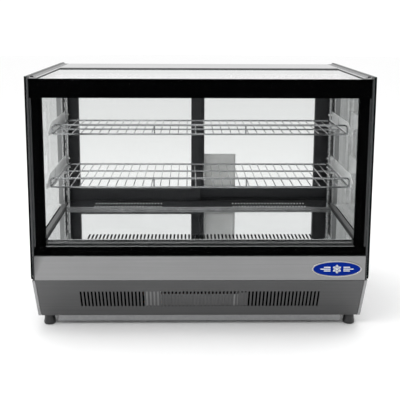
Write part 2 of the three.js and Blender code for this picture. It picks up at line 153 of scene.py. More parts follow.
def mirror(name, color=(0.93, 0.935, 0.94), rough=(0.025, 0.07)):
    """Polished stainless: faint polishing lines and wiped smears."""
    m, nt, out = _new(name)
    p = nt.nodes.new("ShaderNodeBsdfPrincipled")
    nt.links.new(p.outputs[0], out.inputs[0])
    s = _noise(nt, _coord(nt, (3, 420, 420)), 1.0, 3.0)
    w = _noise(nt, _coord(nt), 9.0, 5.0, 0.6, 0.8)
    nt.links.new(_mixcol(nt, _range(nt, w, 0, 1), color, tuple(x * 0.95 for x in color)), p.inputs["Base Color"])
    nt.links.new(_add(nt, _range(nt, w, rough[0], rough[1], 0.35, 0.75), _range(nt, s, 0, 0.015)), p.inputs["Roughness"])
    p.inputs["Metallic"].default_value = 1.0
    nt.links.new(_bump(nt, s, 0.02, 0.0001), p.inputs["Normal"])
    return m


def chrome(name, color=(0.74, 0.75, 0.77), rough=(0.09, 0.2)):
    m, nt, out = _new(name)
    p = nt.nodes.new("ShaderNodeBsdfPrincipled")
    nt.links.new(p.outputs[0], out.inputs[0])
    w = _noise(nt, _coord(nt), 60.0, 4.0, 0.6)
    g = _noise(nt, _coord(nt), 900.0, 2.0)
    nt.links.new(_mixcol(nt, _range(nt, w, 0, 1), color, tuple(x * 0.86 for x in color)), p.inputs["Base Color"])
    nt.links.new(_range(nt, w, rough[0], rough[1]), p.inputs["Roughness"])
    p.inputs["Metallic"].default_value = 1.0
    nt.links.new(_bump(nt, g, 0.04, 0.0001), p.inputs["Normal"])
    return m


def plain(name, color, rough=(0.35, 0.5), metallic=0.0, grain=700.0, bump=0.08, coat=0.0, spec=0.5, drift=0.12):
    """Moulded, painted or anodised surface with a fine texture and slight wear in its sheen."""
    m, nt, out = _new(name)
    p = nt.nodes.new("ShaderNodeBsdfPrincipled")
    nt.links.new(p.outputs[0], out.inputs[0])
    w = _noise(nt, _coord(nt), 14.0, 4.0, 0.6, 0.3)
    g = _noise(nt, _coord(nt), grain, 3.0, 0.6)
    c = tuple(color)
    nt.links.new(_mixcol(nt, _range(nt, w, 0, 1), tuple(x * (1 - drift) for x in c), tuple(min(1, x * (1 + drift)) for x in c)), p.inputs["Base Color"])
    nt.links.new(_add(nt, _range(nt, w, rough[0], rough[1]), _range(nt, g, 0, 0.05)), p.inputs["Roughness"])
    p.inputs["Metallic"].default_value = metallic
    p.inputs["Specular IOR Level"].default_value = spec
    p.inputs["Coat Weight"].default_value = coat
    p.inputs["Coat Roughness"].default_value = 0.06
    nt.links.new(_bump(nt, g, bump, 0.0002), p.inputs["Normal"])
    return m


def spangle(name, color=(0.42, 0.43, 0.44)):
    m, nt, out = _new(name)
    p = nt.nodes.new("ShaderNodeBsdfPrincipled")
    nt.links.new(p.outputs[0], out.inputs[0])
    v = nt.nodes.new("ShaderNodeTexVoronoi")
    v.inputs["Scale"].default_value = 130.0
    nt.links.new(_coord(nt), v.inputs["Vector"])
    sep = nt.nodes.new("ShaderNodeSeparateColor")
    nt.links.new(v.outputs["Color"], sep.inputs[0])
    nt.links.new(_mixcol(nt, sep.outputs[0], tuple(x * 0.95 for x in color), tuple(x * 1.05 for x in color)), p.inputs["Base Color"])
    nt.links.new(_range(nt, sep.outputs[1], 0.42, 0.50, 0, 1), p.inputs["Roughness"])
    p.inputs["Metallic"].default_value = 1.0
    n = _noise(nt, _coord(nt), 300.0, 3.0)
    nt.links.new(_bump(nt, n, 0.05, 0.0002), p.inputs["Normal"])
    return m


def glass(name, tint=(0.960, 0.963, 0.962), stops=((0.0, 0.0002), (0.10, 0.0005), (0.35, 0.009), (0.62, 0.06), (0.85, 0.26), (1.0, 0.95)), rough=(0.0, 0.012)):
    """Thin clear pane: mostly see-through, mirrors more towards grazing angles, with faint wiped marks."""
    m, nt, out = _new(name)
    tr = nt.nodes.new("ShaderNodeBsdfTransparent")
    tr.inputs["Color"].default_value = (*tint, 1)
    gl = nt.nodes.new("ShaderNodeBsdfGlossy")
    gl.inputs["Color"].default_value = (1, 1, 1, 1)
    w = _noise(nt, _coord(nt), 11.0, 5.0, 0.6, 1.0)
    nt.links.new(_range(nt, w, rough[0], rough[1], 0.45, 0.8), gl.inputs["Roughness"])
    lw = nt.nodes.new("ShaderNodeLayerWeight")
    lw.inputs["Blend"].default_value = 0.5
    cr = nt.nodes.new("ShaderNodeValToRGB")
    el = cr.color_ramp.elements
    while len(el) < len(stops):
        el.new(0.5)
    for e, (pos, v) in zip(el, stops):
        e.position = pos
        e.color = (v, v, v, 1)
    nt.links.new(lw.outputs["Facing"], cr.inputs["Fac"])
    mx = nt.nodes.new("ShaderNodeMixShader")
    nt.links.new(cr.outputs["Color"], mx.inputs[0])
    nt.links.new(tr.outputs[0], mx.inputs[1])
    nt.links.new(gl.outputs[0], mx.inputs[2])
    nt.links.new(mx.outputs[0], out.inputs[0])
    return m


def glow(name, color, strength, base=(0.8, 0.8, 0.78)):
    m, nt, out = _new(name)
    p = nt.nodes.new("ShaderNodeBsdfPrincipled")
    nt.links.new(p.outputs[0], out.inputs[0])
    n = _noise(nt, _coord(nt), 300.0, 2.0)
    nt.links.new(_mixcol(nt, _range(nt, n, 0, 1), base, tuple(x * 0.95 for x in base)), p.inputs["Base Color"])
    nt.links.new(_range(nt, n, 0.45, 0.6), p.inputs["Roughness"])
    p.inputs["Emission Color"].default_value = (*color, 1)
    p.inputs["Emission Strength"].default_value = strength
    return m


M = {}
M["fascia"] = brushed("steel_fascia", (0.249, 0.250, 0.252), "x", (0.30, 0.44), 0.05, smudge=0.05)
# painted shade: the lower fascia's much darker base colour stands in for the shaded floor it reflects
M["lower"] = brushed("steel_lower", (0.118, 0.1185, 0.120), "x", (0.34, 0.50), 0.07, smudge=0.05)
M["side"] = brushed("steel_side", (0.34, 0.342, 0.346), "y", (0.30, 0.42), 0.08)
M["trim"] = brushed("steel_trim", (0.50, 0.503, 0.508), "y", (0.22, 0.34), 0.08)
M["top"] = brushed("steel_top", (0.47, 0.472, 0.476), "x", (0.26, 0.36), 0.05)
M["upright"] = brushed("steel_upright", (0.56, 0.562, 0.566), "z", (0.20, 0.30), 0.04, bump=0.02)
M["channel"] = brushed("steel_channel", (0.26, 0.262, 0.266), "z", (0.22, 0.32), 0.06)
M["rear"] = brushed("steel_rear", (0.44, 0.442, 0.446), "x", (0.30, 0.42), 0.08)
M["bracket"] = plain("steel_bracket", (0.80, 0.802, 0.806), (0.22, 0.34), metallic=0.35, grain=900, bump=0.03, drift=0.05)
M["post"] = brushed("steel_post", (0.34, 0.342, 0.345), "z", (0.28, 0.34), 0.03, smudge=0.03, bump=0.012)
M["decklip"] = brushed("steel_decklip", (0.17, 0.171, 0.173), "x", (0.26, 0.36), 0.05)
M["collar"] = plain("steel_collar", (0.66, 0.662, 0.666), (0.22, 0.34), metallic=0.55, grain=900, bump=0.02, drift=0.04)
M["shroud"] = plain("coil_shroud", (0.086, 0.0865, 0.0875), (0.50, 0.62), grain=900, bump=0.03, drift=0.15)
# painted light: the same shroud plastic made brighter for the patches at its ends
M["shroud_tab"] = plain("coil_shroud_painted_light", (0.19, 0.191, 0.193), (0.46, 0.58), grain=900, bump=0.03, drift=0.12)
M["spacer"] = brushed("spacer_alu", (0.30, 0.302, 0.305), "x", (0.30, 0.42), 0.05)
M["deck"] = mirror("steel_deck")
M["deckband"] = brushed("steel_deckband", (0.34, 0.342, 0.346), "x", (0.20, 0.30), 0.06)
M["galv"] = spangle("steel_galvanised", (0.30, 0.303, 0.308))
# painted shade and highlight: rods and cross wires are one chrome in two colours, rods darker and cross wires brighter,
# for lit wire tops over shaded rods
M["wire"] = chrome("chrome_wire", (0.36, 0.364, 0.372), (0.12, 0.24))
M["wire_fine"] = chrome("chrome_wire_painted_highlight", (0.66, 0.664, 0.672), (0.12, 0.24))
M["polished"] = chrome("polished_studs", (0.92, 0.92, 0.92), (0.20, 0.32))
M["rubber"] = plain("rubber_black", (0.018, 0.018, 0.019), (0.5, 0.7), grain=900, bump=0.12, spec=0.35)
M["foot"] = plain("foot_plastic", (0.014, 0.014, 0.015), (0.22, 0.38), grain=800, bump=0.05, spec=0.5)
M["frit"] = plain("frit_black", (0.0004, 0.0004, 0.0005), (0.45, 0.6), grain=1500, bump=0.02, spec=0.008, drift=0.25)
M["doorframe"] = plain("anodised_black", (0.028, 0.0285, 0.031), (0.30, 0.42), metallic=0.6, grain=1600, bump=0.05, drift=0.10)
M["corner"] = brushed("corner_alu", (0.075, 0.076, 0.079), "z", (0.28, 0.4), 0.08)
M["alu"] = brushed("alu_satin", (0.52, 0.525, 0.53), "x", (0.30, 0.42), 0.05)
M["plastic"] = plain("plastic_black", (0.02, 0.02, 0.022), (0.38, 0.52), grain=1200, bump=0.12)
M["liner"] = plain("liner_grey", (0.17, 0.17, 0.172), (0.45, 0.6), grain=500, bump=0.05)
M["iron"] = plain("compressor_paint", (0.014, 0.014, 0.016), (0.25, 0.42), grain=350, bump=0.10, coat=0.3)
M["copper"] = plain("copper_tube", (0.62, 0.27, 0.15), (0.25, 0.42), metallic=1.0, grain=400, bump=0.04)
M["fins"] = brushed("coil_fins", (0.55, 0.56, 0.57), "z", (0.35, 0.5), 0.08)
M["glass"] = glass("glass_front")
M["glass_in"] = glass("glass_inner", tint=(0.962, 0.965, 0.964))
# painted shade and reflection: the right side pane has a darker tint and a stronger grazing mirror than the left,
# standing in for dimmer light on that side
SIDE_R = ((0.0, 0.008), (0.35, 0.018), (0.62, 0.09), (0.80, 0.40), (1.0, 0.92))
SIDE_L = ((0.0, 0.008), (0.35, 0.018), (0.62, 0.06), (0.80, 0.17), (1.0, 0.90))
M["glass_side_left"] = glass("glass_side_left", tint=(0.962, 0.966, 0.965), stops=SIDE_L)
M["glass_side_right"] = glass("glass_side_right", tint=(0.780, 0.786, 0.784), stops=SIDE_R)
M["glass_door"] = glass("glass_door", tint=(0.929, 0.932, 0.931), stops=((0.0, 0.008), (0.35, 0.03), (0.62, 0.07), (0.85, 0.26), (1.0, 0.95)))
M["glass_top"] = glass("glass_top", tint=(0.955, 0.958, 0.957), stops=((0.0, 0.02), (0.35, 0.03), (0.62, 0.10), (0.85, 0.45), (1.0, 0.97)))
M["edge"] = plain("glass_edge", (0.13, 0.19, 0.175), (0.12, 0.25), grain=600, bump=0.05, spec=0.5)
M["edge_dark"] = plain("glass_edge_dark", (0.03, 0.034, 0.033), (0.15, 0.3), grain=600, bump=0.05, spec=0.3)
M["blue"] = plain("badge_blue", (0.0005, 0.0150, 0.200), (0.30, 0.40), grain=300, bump=0.015, spec=0.03)
M["badge_rim"] = chrome("badge_rim", (0.42, 0.42, 0.418), (0.18, 0.30))
M["emblem"] = plain("badge_emblem", (0.72, 0.74, 0.72), (0.25, 0.35), grain=500, bump=0.03)
M["diffuser"] = glow("lamp_opal", (1.0, 0.98, 0.94), 0.8)
M["display"] = plain("display_smoked", (0.03, 0.004, 0.004), (0.08, 0.15), grain=400, bump=0.01, coat=0.6)
M["digits"] = glow("display_digits", (1.0, 0.10, 0.04), 2.2, (0.6, 0.05, 0.03))
M["red"] = plain("rocker_red", (0.42, 0.012, 0.010), (0.22, 0.34), grain=600, bump=0.04)
M["green"] = plain("rocker_green", (0.012, 0.24, 0.06), (0.22, 0.34), grain=600, bump=0.04)
M["card"] = plain("card_grey", (0.66, 0.66, 0.655), (0.5, 0.7), grain=500, bump=0.06, spec=0.3)
M["floor"] = plain("floor_pale", (0.955, 0.955, 0.955), (0.8, 0.95), grain=90, bump=0.02, spec=0.1, drift=0.008)

def painted_hem_shade_trim(name):
    """Folded trim: the same lengthwise brushing throughout, with painted shade making the hem darker than the flat."""
    m = brushed(name, (0.42, 0.422, 0.426), "y", (0.24, 0.36), 0.07)
    nt = m.node_tree
    p = next(n for n in nt.nodes if n.type == "BSDF_PRINCIPLED")
    src = p.inputs["Base Color"].links[0].from_socket
    tc = nt.nodes.new("ShaderNodeTexCoord")
    sep = nt.nodes.new("ShaderNodeSeparateXYZ")
    nt.links.new(tc.outputs["Object"], sep.inputs[0])
    ab = nt.nodes.new("ShaderNodeMath")
    ab.operation = "ABSOLUTE"
    nt.links.new(sep.outputs[0], ab.inputs[0])
    # painted shade: colour multiplied down to 0.34 across the outer hem
    shade = _range(nt, ab.outputs[0], 1.0, 0.34, 0.4262, 0.4285)
    k = nt.nodes.new("ShaderNodeMix")
    k.data_type, k.blend_type = "RGBA", "MULTIPLY"
    k.inputs[0].default_value = 1.0
    nt.links.new(src, k.inputs[6])
    nt.links.new(shade, k.inputs[7])
    nt.links.new(k.outputs[2], p.inputs["Base Color"])
    p.inputs["Specular Tint"].default_value = (0.55, 0.55, 0.55, 1)
    return m


M["trim"] = painted_hem_shade_trim("steel_trim")


def paint_fascia_end_shade(m):
    """Painted shade: the upper fascia's colour is darkened towards its left end, the dark band widest at the top."""
    nt = m.node_tree
    p = next(n for n in nt.nodes if n.type == "BSDF_PRINCIPLED")
    src = p.inputs["Base Color"].links[0].from_socket
    tc = nt.nodes.new("ShaderNodeTexCoord")
    sep = nt.nodes.new("ShaderNodeSeparateXYZ")
    nt.links.new(tc.outputs["Object"], sep.inputs[0])
    width = _range(nt, sep.outputs[2], 0.007, 0.036, 0.155, 0.219)
    t = _add(nt, _add(nt, sep.outputs[0], 0.4375), width, "DIVIDE")
    # painted shade: colour multiplied down to 0.46 at the fascia's left end
    shade = _range(nt, t, 0.46, 1.0, 0.12, 1.0)
    k = nt.nodes.new("ShaderNodeMix")
    k.data_type, k.blend_type = "RGBA", "MULTIPLY"
    k.inputs[0].default_value = 1.0
    nt.links.new(src, k.inputs[6])
    nt.links.new(shade, k.inputs[7])
    nt.links.new(k.outputs[2], p.inputs["Base Color"])


paint_fascia_end_shade(M["fascia"])

# ----------------------------------------------------------------------------- mesh helpers
def obj(name, bm, mats, body, smooth=None, replaces=(), bevel=None, weld=False):
    me = bpy.data.meshes.new(name)
    bmesh.ops.recalc_face_normals(bm, faces=bm.faces[:])
    bm.to_mesh(me)
    bm.free()
    o = bpy.data.objects.new(name, me)
    SCN.collection.objects.link(o)
    for m in mats if isinstance(mats, (list, tuple)) else [mats]:
        me.materials.append(m)
    if smooth is not None:
        me.polygons.foreach_set("use_smooth", [True] * len(me.polygons))
        me.set_sharp_from_angle(angle=math.radians(smooth))
    if bevel:
        b = o.modifiers.new("edges", "BEVEL")
        b.width, b.segments, b.limit_method, b.angle_limit = bevel, 2, "ANGLE", math.radians(35)
        b.harden_normals = smooth is not None
    if body:
        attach(o, body)
    if replaces:
        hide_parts(*replaces)
    return o


def bm_box(bm, x0, x1, y0, y1, z0, z1, mi=0):
    v = [bm.verts.new((x, y, z)) for x in (x0, x1) for y in (y0, y1) for z in (z0, z1)]
    for f in ((0, 1, 3, 2), (4, 6, 7, 5), (0, 4, 5, 1), (2, 3, 7, 6), (0, 2, 6, 4), (1, 5, 7, 3)):
        bm.faces.new([v[i] for i in f]).material_index = mi


def bm_tube(bm, pts, r, n=12, mi=0, caps=True, radii=None):
    """Round bar along a path, ends slightly domed."""
    pts = [Vector(p) for p in pts]
    rings = []
    t0 = (pts[1] - pts[0]).normalized()
    up = Vector((0, 0, 1)) if abs(t0.z) < 0.9 else Vector((1, 0, 0))
    u = t0.cross(up).normalized()
    for i, p in enumerate(pts):
        a = pts[max(i - 1, 0)]
        b = pts[min(i + 1, len(pts) - 1)]
        t = (b - a).normalized()
        u = (u - t * u.dot(t)).normalized()
        w = t.cross(u)
        rr = radii[i] if radii else r
        rings.append([bm.verts.new(p + (u * math.cos(2 * math.pi * k / n) + w * math.sin(2 * math.pi * k / n)) * rr) for k in range(n)])
    for A, B in zip(rings, rings[1:]):
        for k in range(n):
            bm.faces.new((A[k], A[(k + 1) % n], B[(k + 1) % n], B[k])).material_index = mi
    if caps:
        bm.faces.new(rings[0][::-1]).material_index = mi
        bm.faces.new(rings[-1]).material_index = mi


def rod(bm, a, b, r, n=12, mi=0):
    a, b = Vector(a), Vector(b)
    d = (b - a).normalized()
    e = min(r * 0.35, (b - a).length * 0.2)
    bm_tube(bm, [a, a + d * e, b - d * e, b], r, n, mi, radii=[r * 0.72, r, r, r * 0.72])


def bm_lathe(bm, prof, n=48, mi=0, centre=(0, 0), axis="z"):
    """Turned form; prof is [(radius, height)...] from axis to axis."""
    cx, cy = centre
    rings = []
    for r, h in prof:
        if r < 1e-7:
            rings.append([bm.verts.new(_ax(axis, cx, cy, 0, 0, h))])
        else:
            rings.append([bm.verts.new(_ax(axis, cx, cy, r * math.cos(2 * math.pi * k / n), r * math.sin(2 * math.pi * k / n), h)) for k in range(n)])
    for A, B in zip(rings, rings[1:]):
        if len(A) == 1 and len(B) == 1:
            continue
        for k in range(n):
            q = [A[k % len(A)], A[(k + 1) % len(A)], B[(k + 1) % len(B)], B[k % len(B)]]
            q = [v for i, v in enumerate(q) if v not in q[:i]]
            if len(q) > 2:
                bm.faces.new(q).material_index = mi


def _ax(axis, cx, cy, a, b, h):
    return {"z": (cx + a, cy + b, h), "y": (cx + a, h, cy + b), "x": (h, cx + a, cy + b)}[axis]


def bm_prism(bm, axis, pts, a, b, mi=0):
    """Outline pts as (y,z), (x,z) or (x,y) for axis x, y, z."""
    def P(p, h):
        return {"x": (h, p[0], p[1]), "y": (p[0], h, p[1]), "z": (p[0], p[1], h)}[axis]
    A = [bm.verts.new(P(p, a)) for p in pts]
    B = [bm.verts.new(P(p, b)) for p in pts]
    n = len(pts)
    for k in range(n):
        bm.faces.new((A[k], A[(k + 1) % n], B[(k + 1) % n], B[k])).material_index = mi
    bm.faces.new(A[::-1]).material_index = mi
    bm.faces.new(B).material_index = mi


def clad(node, mats, bevel=0.0006, edge=None, seg=2, angle=32):
    """Keeps a CAD node's own shape and gives it its finish, with rounded edges."""
    o = N[node]
    me = o.data
    me.materials.clear()
    for m in mats if isinstance(mats, (list, tuple)) else [mats]:
        me.materials.append(m)
    for p in me.polygons:
        p.material_index = 0
        p.use_smooth = False
    if edge:                      # faces whose normal isn't along that axis take material 1
        i = "xyz".index(edge)
        for p in me.polygons:
            if abs(p.normal[i]) < 0.9:
                p.material_index = 1
    w = o.modifiers.new("weld", "WELD")
    w.merge_threshold = 0.00001
    if bevel:
        b = o.modifiers.new("edges", "BEVEL")
        b.width, b.segments, b.limit_method, b.angle_limit = bevel, seg, "ANGLE", math.radians(angle)
        b.use_clamp_overlap = True
        if edge:
            b.material = 1
    return o


# ----------------------------------------------------------------------------- CAD nodes that keep their shape
clad("upper_fascia", M["fascia"], 0.0005)
clad("lower_fascia", M["lower"], 0.0003)
for s in ("left", "right"):
    clad("base_side_" + s, M["side"], 0.0004)
    clad("side_trim_" + s, M["trim"], 0.0005)
    clad("corner_profile_" + s, M["corner"], 0.0005)
    clad("rear_post_" + s, M["post"], 0.0005)
    clad("bracket_upper_" + s, M["bracket"], 0.0004)
    clad("bracket_lower_" + s, M["bracket"], 0.0004)
    clad("side_glass_" + s, [M["glass_side_" + s], M["edge"]], 0.0005, edge="x")
    clad(f"door_{s}_frame", M["doorframe"], 0.0009)
    clad(f"door_{s}_glass", [M["glass_door"], M["edge"]], 0.0004, edge="y")
clad("base_pan", M["galv"], 0.0005)
clad("rear_panel", M["rear"], 0.0004)
clad("rear_top_panel", M["top"], 0.0006)
clad("top_glass", [M["glass_top"], M["edge"]], 0.0005, edge="z")
clad("top_gasket", M["rubber"], 0.0008)
clad("front_glass", [M["glass"], M["edge_dark"]], 0.0004, edge="y")
clad("front_glass_inner", [M["glass_in"], M["edge_dark"]], 0.0004, edge="y")
clad("glazing_frame", M["frit"], 0.0005)
clad("door_sill", M["doorframe"], 0.0005)
clad("door_track_top", M["doorframe"], 0.0005)
clad("lamp_housing", M["alu"], 0.0005)
clad("lamp_diffuser", M["diffuser"], 0.0008)
clad("control_bezel", M["plastic"], 0.0008)
clad("control_display", M["display"], 0.0004)
clad("switch_power", M["red"], 0.0008)
clad("switch_light", M["green"], 0.0008)
for b in ("set", "up", "down"):
    clad("button_" + b, M["rubber"], 0.0010, seg=3)
clad("insulated_well", M["liner"], 0.0020, seg=3)
clad("drain_tray", M["galv"], 0.0005)
clad("condenser_fan_frame", M["plastic"], 0.0006)
clad("evaporator_fan_frame", M["plastic"], 0.0006)

# ----------------------------------------------------------------------------- wire shelves
def shelf(node):
    lo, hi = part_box(node)
    RO, WI = 2.4 * mm, 1.35 * mm
    z = lo.z + RO
    y0, y1 = lo.y, hi.y
    X = hi.x - RO
    bm = bmesh.new()
    L = y1 - y0 - 2 * RO
    for k, f in enumerate((0, 1 / 3, 2 / 3, 1)):
        y = y0 + RO + L * f
        rr = RO if k in (0, 3) else 2.1 * mm
        rod(bm, (-X + (RO if k in (0, 3) else 0), y, z), (X - (RO if k in (0, 3) else 0), y, z), rr, 14)
    # side rods join front and rear rods with a small bend
    for sx in (-1, 1):
        c = 7 * mm
        pts = [(sx * (X - 14 * mm), y0 + RO, z), (sx * (X - c), y0 + RO, z), (sx * (X - c * 0.3), y0 + RO + c * 0.3, z), (sx * X, y0 + RO + c, z),
               (sx * X, y1 - RO - c, z), (sx * (X - c * 0.3), y1 - RO - c * 0.3, z), (sx * (X - c), y1 - RO, z), (sx * (X - 14 * mm), y1 - RO, z)]
        bm_tube(bm, pts, RO, 14)
    n = 33
    for i in range(n + 1):
        x = -X + 7 * mm + i * (2 * X - 14 * mm) / n
        zz = z + RO + WI - 0.6 * mm
        rod(bm, (x, y0 + 0.5 * mm, zz), (x, y1 - 0.5 * mm, zz), WI, 8, 1)
    # retaining rail: one hoop bent down at both ends, with two posts
    zr = hi.z - RO
    c = 8 * mm
    yf = y0 + RO
    pts = [(-X, yf, z), (-X, yf, zr - c), (-X + c * 0.12, yf, zr - c * 0.5), (-X + c * 0.5, yf, zr - c * 0.12), (-X + c, yf, zr),
           (X - c, yf, zr), (X - c * 0.5, yf, zr - c * 0.12), (X - c * 0.12, yf, zr - c * 0.5), (X, yf, zr - c), (X, yf, z)]
    bm_tube(bm, pts, RO, 14)
    for x in (-0.122, 0.122):
        rod(bm, (x, yf, z), (x, yf, zr), 2.0 * mm, 12)
    # rods take the darker painted-shade chrome, cross wires the brighter painted-highlight chrome
    return obj(node + "_wires", bm, [M["wire"], M["wire_fine"]], node, smooth=50, replaces=(node,))


shelf("shelf_upper")
shelf("shelf_lower")

# ----------------------------------------------------------------------------- deck
def deck():
    lo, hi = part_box("deck_panel")
    X = hi.x
    zt = lo.z + 16 * mm            # flat level
    y0, y1 = lo.y, hi.y
    t = 1.4 * mm
    P = [(-1, 0), (0.0394, 0), (0.0400, 0.5), (0.0402, 2.2), (0.0412, 2.9), (0.0414, 4.4), (0.0403, 5.2), (0.0401, 7.2), (0.0408, 7.95), (0.0420, 8.0),
         (0.0895, 8.0), (0.0905, 7.4), (0.0918, 0.4), (0.0925, 0), (1, 0)]

    def zprof(y):
        for (a, za), (b, zb) in zip(P, P[1:]):
            if min(a, b) <= y <= max(a, b) and abs(b - a) > 1e-9:
                return zt + (za + (zb - za) * (y - a) / (b - a)) * mm
        return zt

    grid = {}

    def V(x, y, z):
        k = (round(x, 6), round(y, 6), round(z, 6))
        if k not in grid:
            grid[k] = bm.verts.new(k)
        return grid[k]

    bm = bmesh.new()

    def cells(xs, rows, holes=(), circ=(), mi=0):
        """rows are (y, z) lines of the folded sheet."""
        for (a, za), (b, zb) in zip(rows, rows[1:]):
            for c, d in zip(xs, xs[1:]):
                mx, my = (c + d) / 2, (a + b) / 2
                if any(h[0] < mx < h[1] and h[2] < my < h[3] for h in holes):
                    continue
                q = [V(c, a, za), V(d, a, za), V(d, b, zb), V(c, b, zb)]
                hit = next((h for h in circ if abs(h[0] - mx) < 1e-5 and abs(h[1] - my) < 1e-5), None)
                if hit:
                    m = 12
                    ring = [V(mx + hit[2] * math.cos(-3 * math.pi / 4 + 2 * math.pi * k / m), my + hit[2] * math.sin(-3 * math.pi / 4 + 2 * math.pi * k / m), (za + zb) / 2) for k in range(m)]
                    for e in range(4):
                        seg = [ring[(e * 3 + j) % m] for j in range(4)]
                        bm.faces.new([q[e], q[(e + 1) % 4], seg[3], seg[2], seg[1], seg[0]]).material_index = mi
                    continue
                bm.faces.new(q).material_index = mi

    # front slots
    n, pitch, w = 61, 9.75 * mm, 2.4 * mm
    sx = [(i - (n - 1) / 2) * pitch for i in range(n)]
    xs = sorted([-X, X] + [x - w for x in sx] + [x + w for x in sx])
    ysA = [y0, y0 + 3 * mm, y0 + 46 * mm, y0 + 52 * mm]
    cells(xs, [(y, zt) for y in ysA], holes=[(x - w, x + w, y0 + 3 * mm, y0 + 46 * mm) for x in sx])
    # platform with its perforated rows
    circ, xr, h = [], [-X, X], 3.1 * mm
    for g0, cnt in ((-0.312, 23), (0.104, 25)):
        for i in range(cnt):
            x = g0 + i * 9 * mm
            xr += [x - h, x + h]
            for y in (0.0470, 0.0840, 0.1120):
                circ.append((x, y, 1.55 * mm))
    xr = sorted(xr)
    front = [(0.030, zt)] + [(y, zt + z * mm) for y, z in P[1:10]]
    top = [(y, zt + 8 * mm) for y in (0.0420, 0.0470 - h, 0.0470 + h, 0.0840 - h, 0.0840 + h, 0.0895)]
    back = [(y, zt + z * mm) for y, z in P[10:14]] + [(0.1120 - h, zt), (0.1120 + h, zt), (y1, zt)]
    cells(xr, front, mi=1)
    cells(xr, top, circ=circ)
    cells(xr, back, circ=circ)
    # plain middle
    A = [V(x, ysA[-1], zt) for x in xs]
    B = [V(x, 0.030, zt) for x in xr]
    mid = (ysA[-1] + 0.03) / 2
    C = [V(-X, mid, zt), V(X, mid, zt)]
    bm.faces.new(A + [C[1], C[0]])
    bm.faces.new([C[0], C[1]] + B[::-1])
    # front lip: rounded nose, deep groove, flat face, groove and foot bead
    lip = [(0, 0, 1), (-0.0, -1.0, 1), (0.3, -2.2, 1), (1.0, -2.6, 2), (3.4, -2.9, 2), (3.4, -6.0, 2), (0.5, -6.3, 2), (0.2, -6.7, 3), (0.2, -12.0, 3), (0.6, -12.4, 2), (3.0, -12.7, 2), (3.0, -15.0, 2), (0.4, -15.3, 3), (0.2, -15.95, 3)]
    prev = [V(x, y0, zt) for x in xs]
    for dy, dz, mi in lip[1:]:
        a = V(-X, y0 + dy * mm, zt + dz * mm)
        b = V(X, y0 + dy * mm, zt + dz * mm)
        f = bm.faces.new(prev + [b, a]) if len(prev) > 2 else bm.faces.new([prev[0], prev[1], b, a])
        f.material_index = mi
        prev = [a, b]
    bmesh.ops.recalc_face_normals(bm, faces=bm.faces[:])
    if sum(f.normal.z * f.calc_area() for f in bm.faces) < 0:
        bmesh.ops.reverse_faces(bm, faces=bm.faces[:])
    me = bpy.data.meshes.new("deck_sheet")
    bm.to_mesh(me)
    bm.free()
    o = bpy.data.objects.new("deck_sheet", me)
    SCN.collection.objects.link(o)
    for m in (M["deck"], M["deckband"], M["rubber"], M["decklip"]):
        me.materials.append(m)
    k = o.modifiers.new("sheet", "SOLIDIFY")
    k.thickness, k.offset, k.use_even_offset = t, -1, True
    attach(o, "deck")
    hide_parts("deck_panel")
    # low pressed collars round the perforations
    bm = bmesh.new()
    prof = [(1.57, 0.0), (2.30, 0.0), (2.20, 1.0), (2.02, 1.3), (1.76, 1.3), (1.60, 1.0)]
    m = 18
    for cx, cy, r in circ:
        zc = zt + (8 * mm if cy < 0.09 else 0.0) + 0.02 * mm
        rings = [[bm.verts.new((cx + a * mm * math.cos(2 * math.pi * k / m), cy + a * mm * math.sin(2 * math.pi * k / m), zc + h * mm)) for k in range(m)] for a, h in prof]
        for A, B in zip(rings, rings[1:] + rings[:1]):
            for k in range(m):
                bm.faces.new((A[k], A[(k + 1) % m], B[(k + 1) % m], B[k]))
    obj("deck_collars", bm, M["collar"], "deck", smooth=40)
    # rubber edge strips along both sides, which also stand in as painted shade for the shadow gap beside the deck
    bm = bmesh.new()
    for s in (-1, 1):
        a, b = sorted((s * 0.3968, s * 0.4082))
        pts = [(a, 0.2527), (b, 0.2527), (b, 0.2570), ((a + b) / 2, 0.2588), (a, 0.2576)]
        bm_prism(bm, "y", pts, y0 + 12 * mm, 0.110)
    obj("deck_side_seals_and_gap_shade", bm, M["rubber"], "cabinet", bevel=0.0006)


deck()

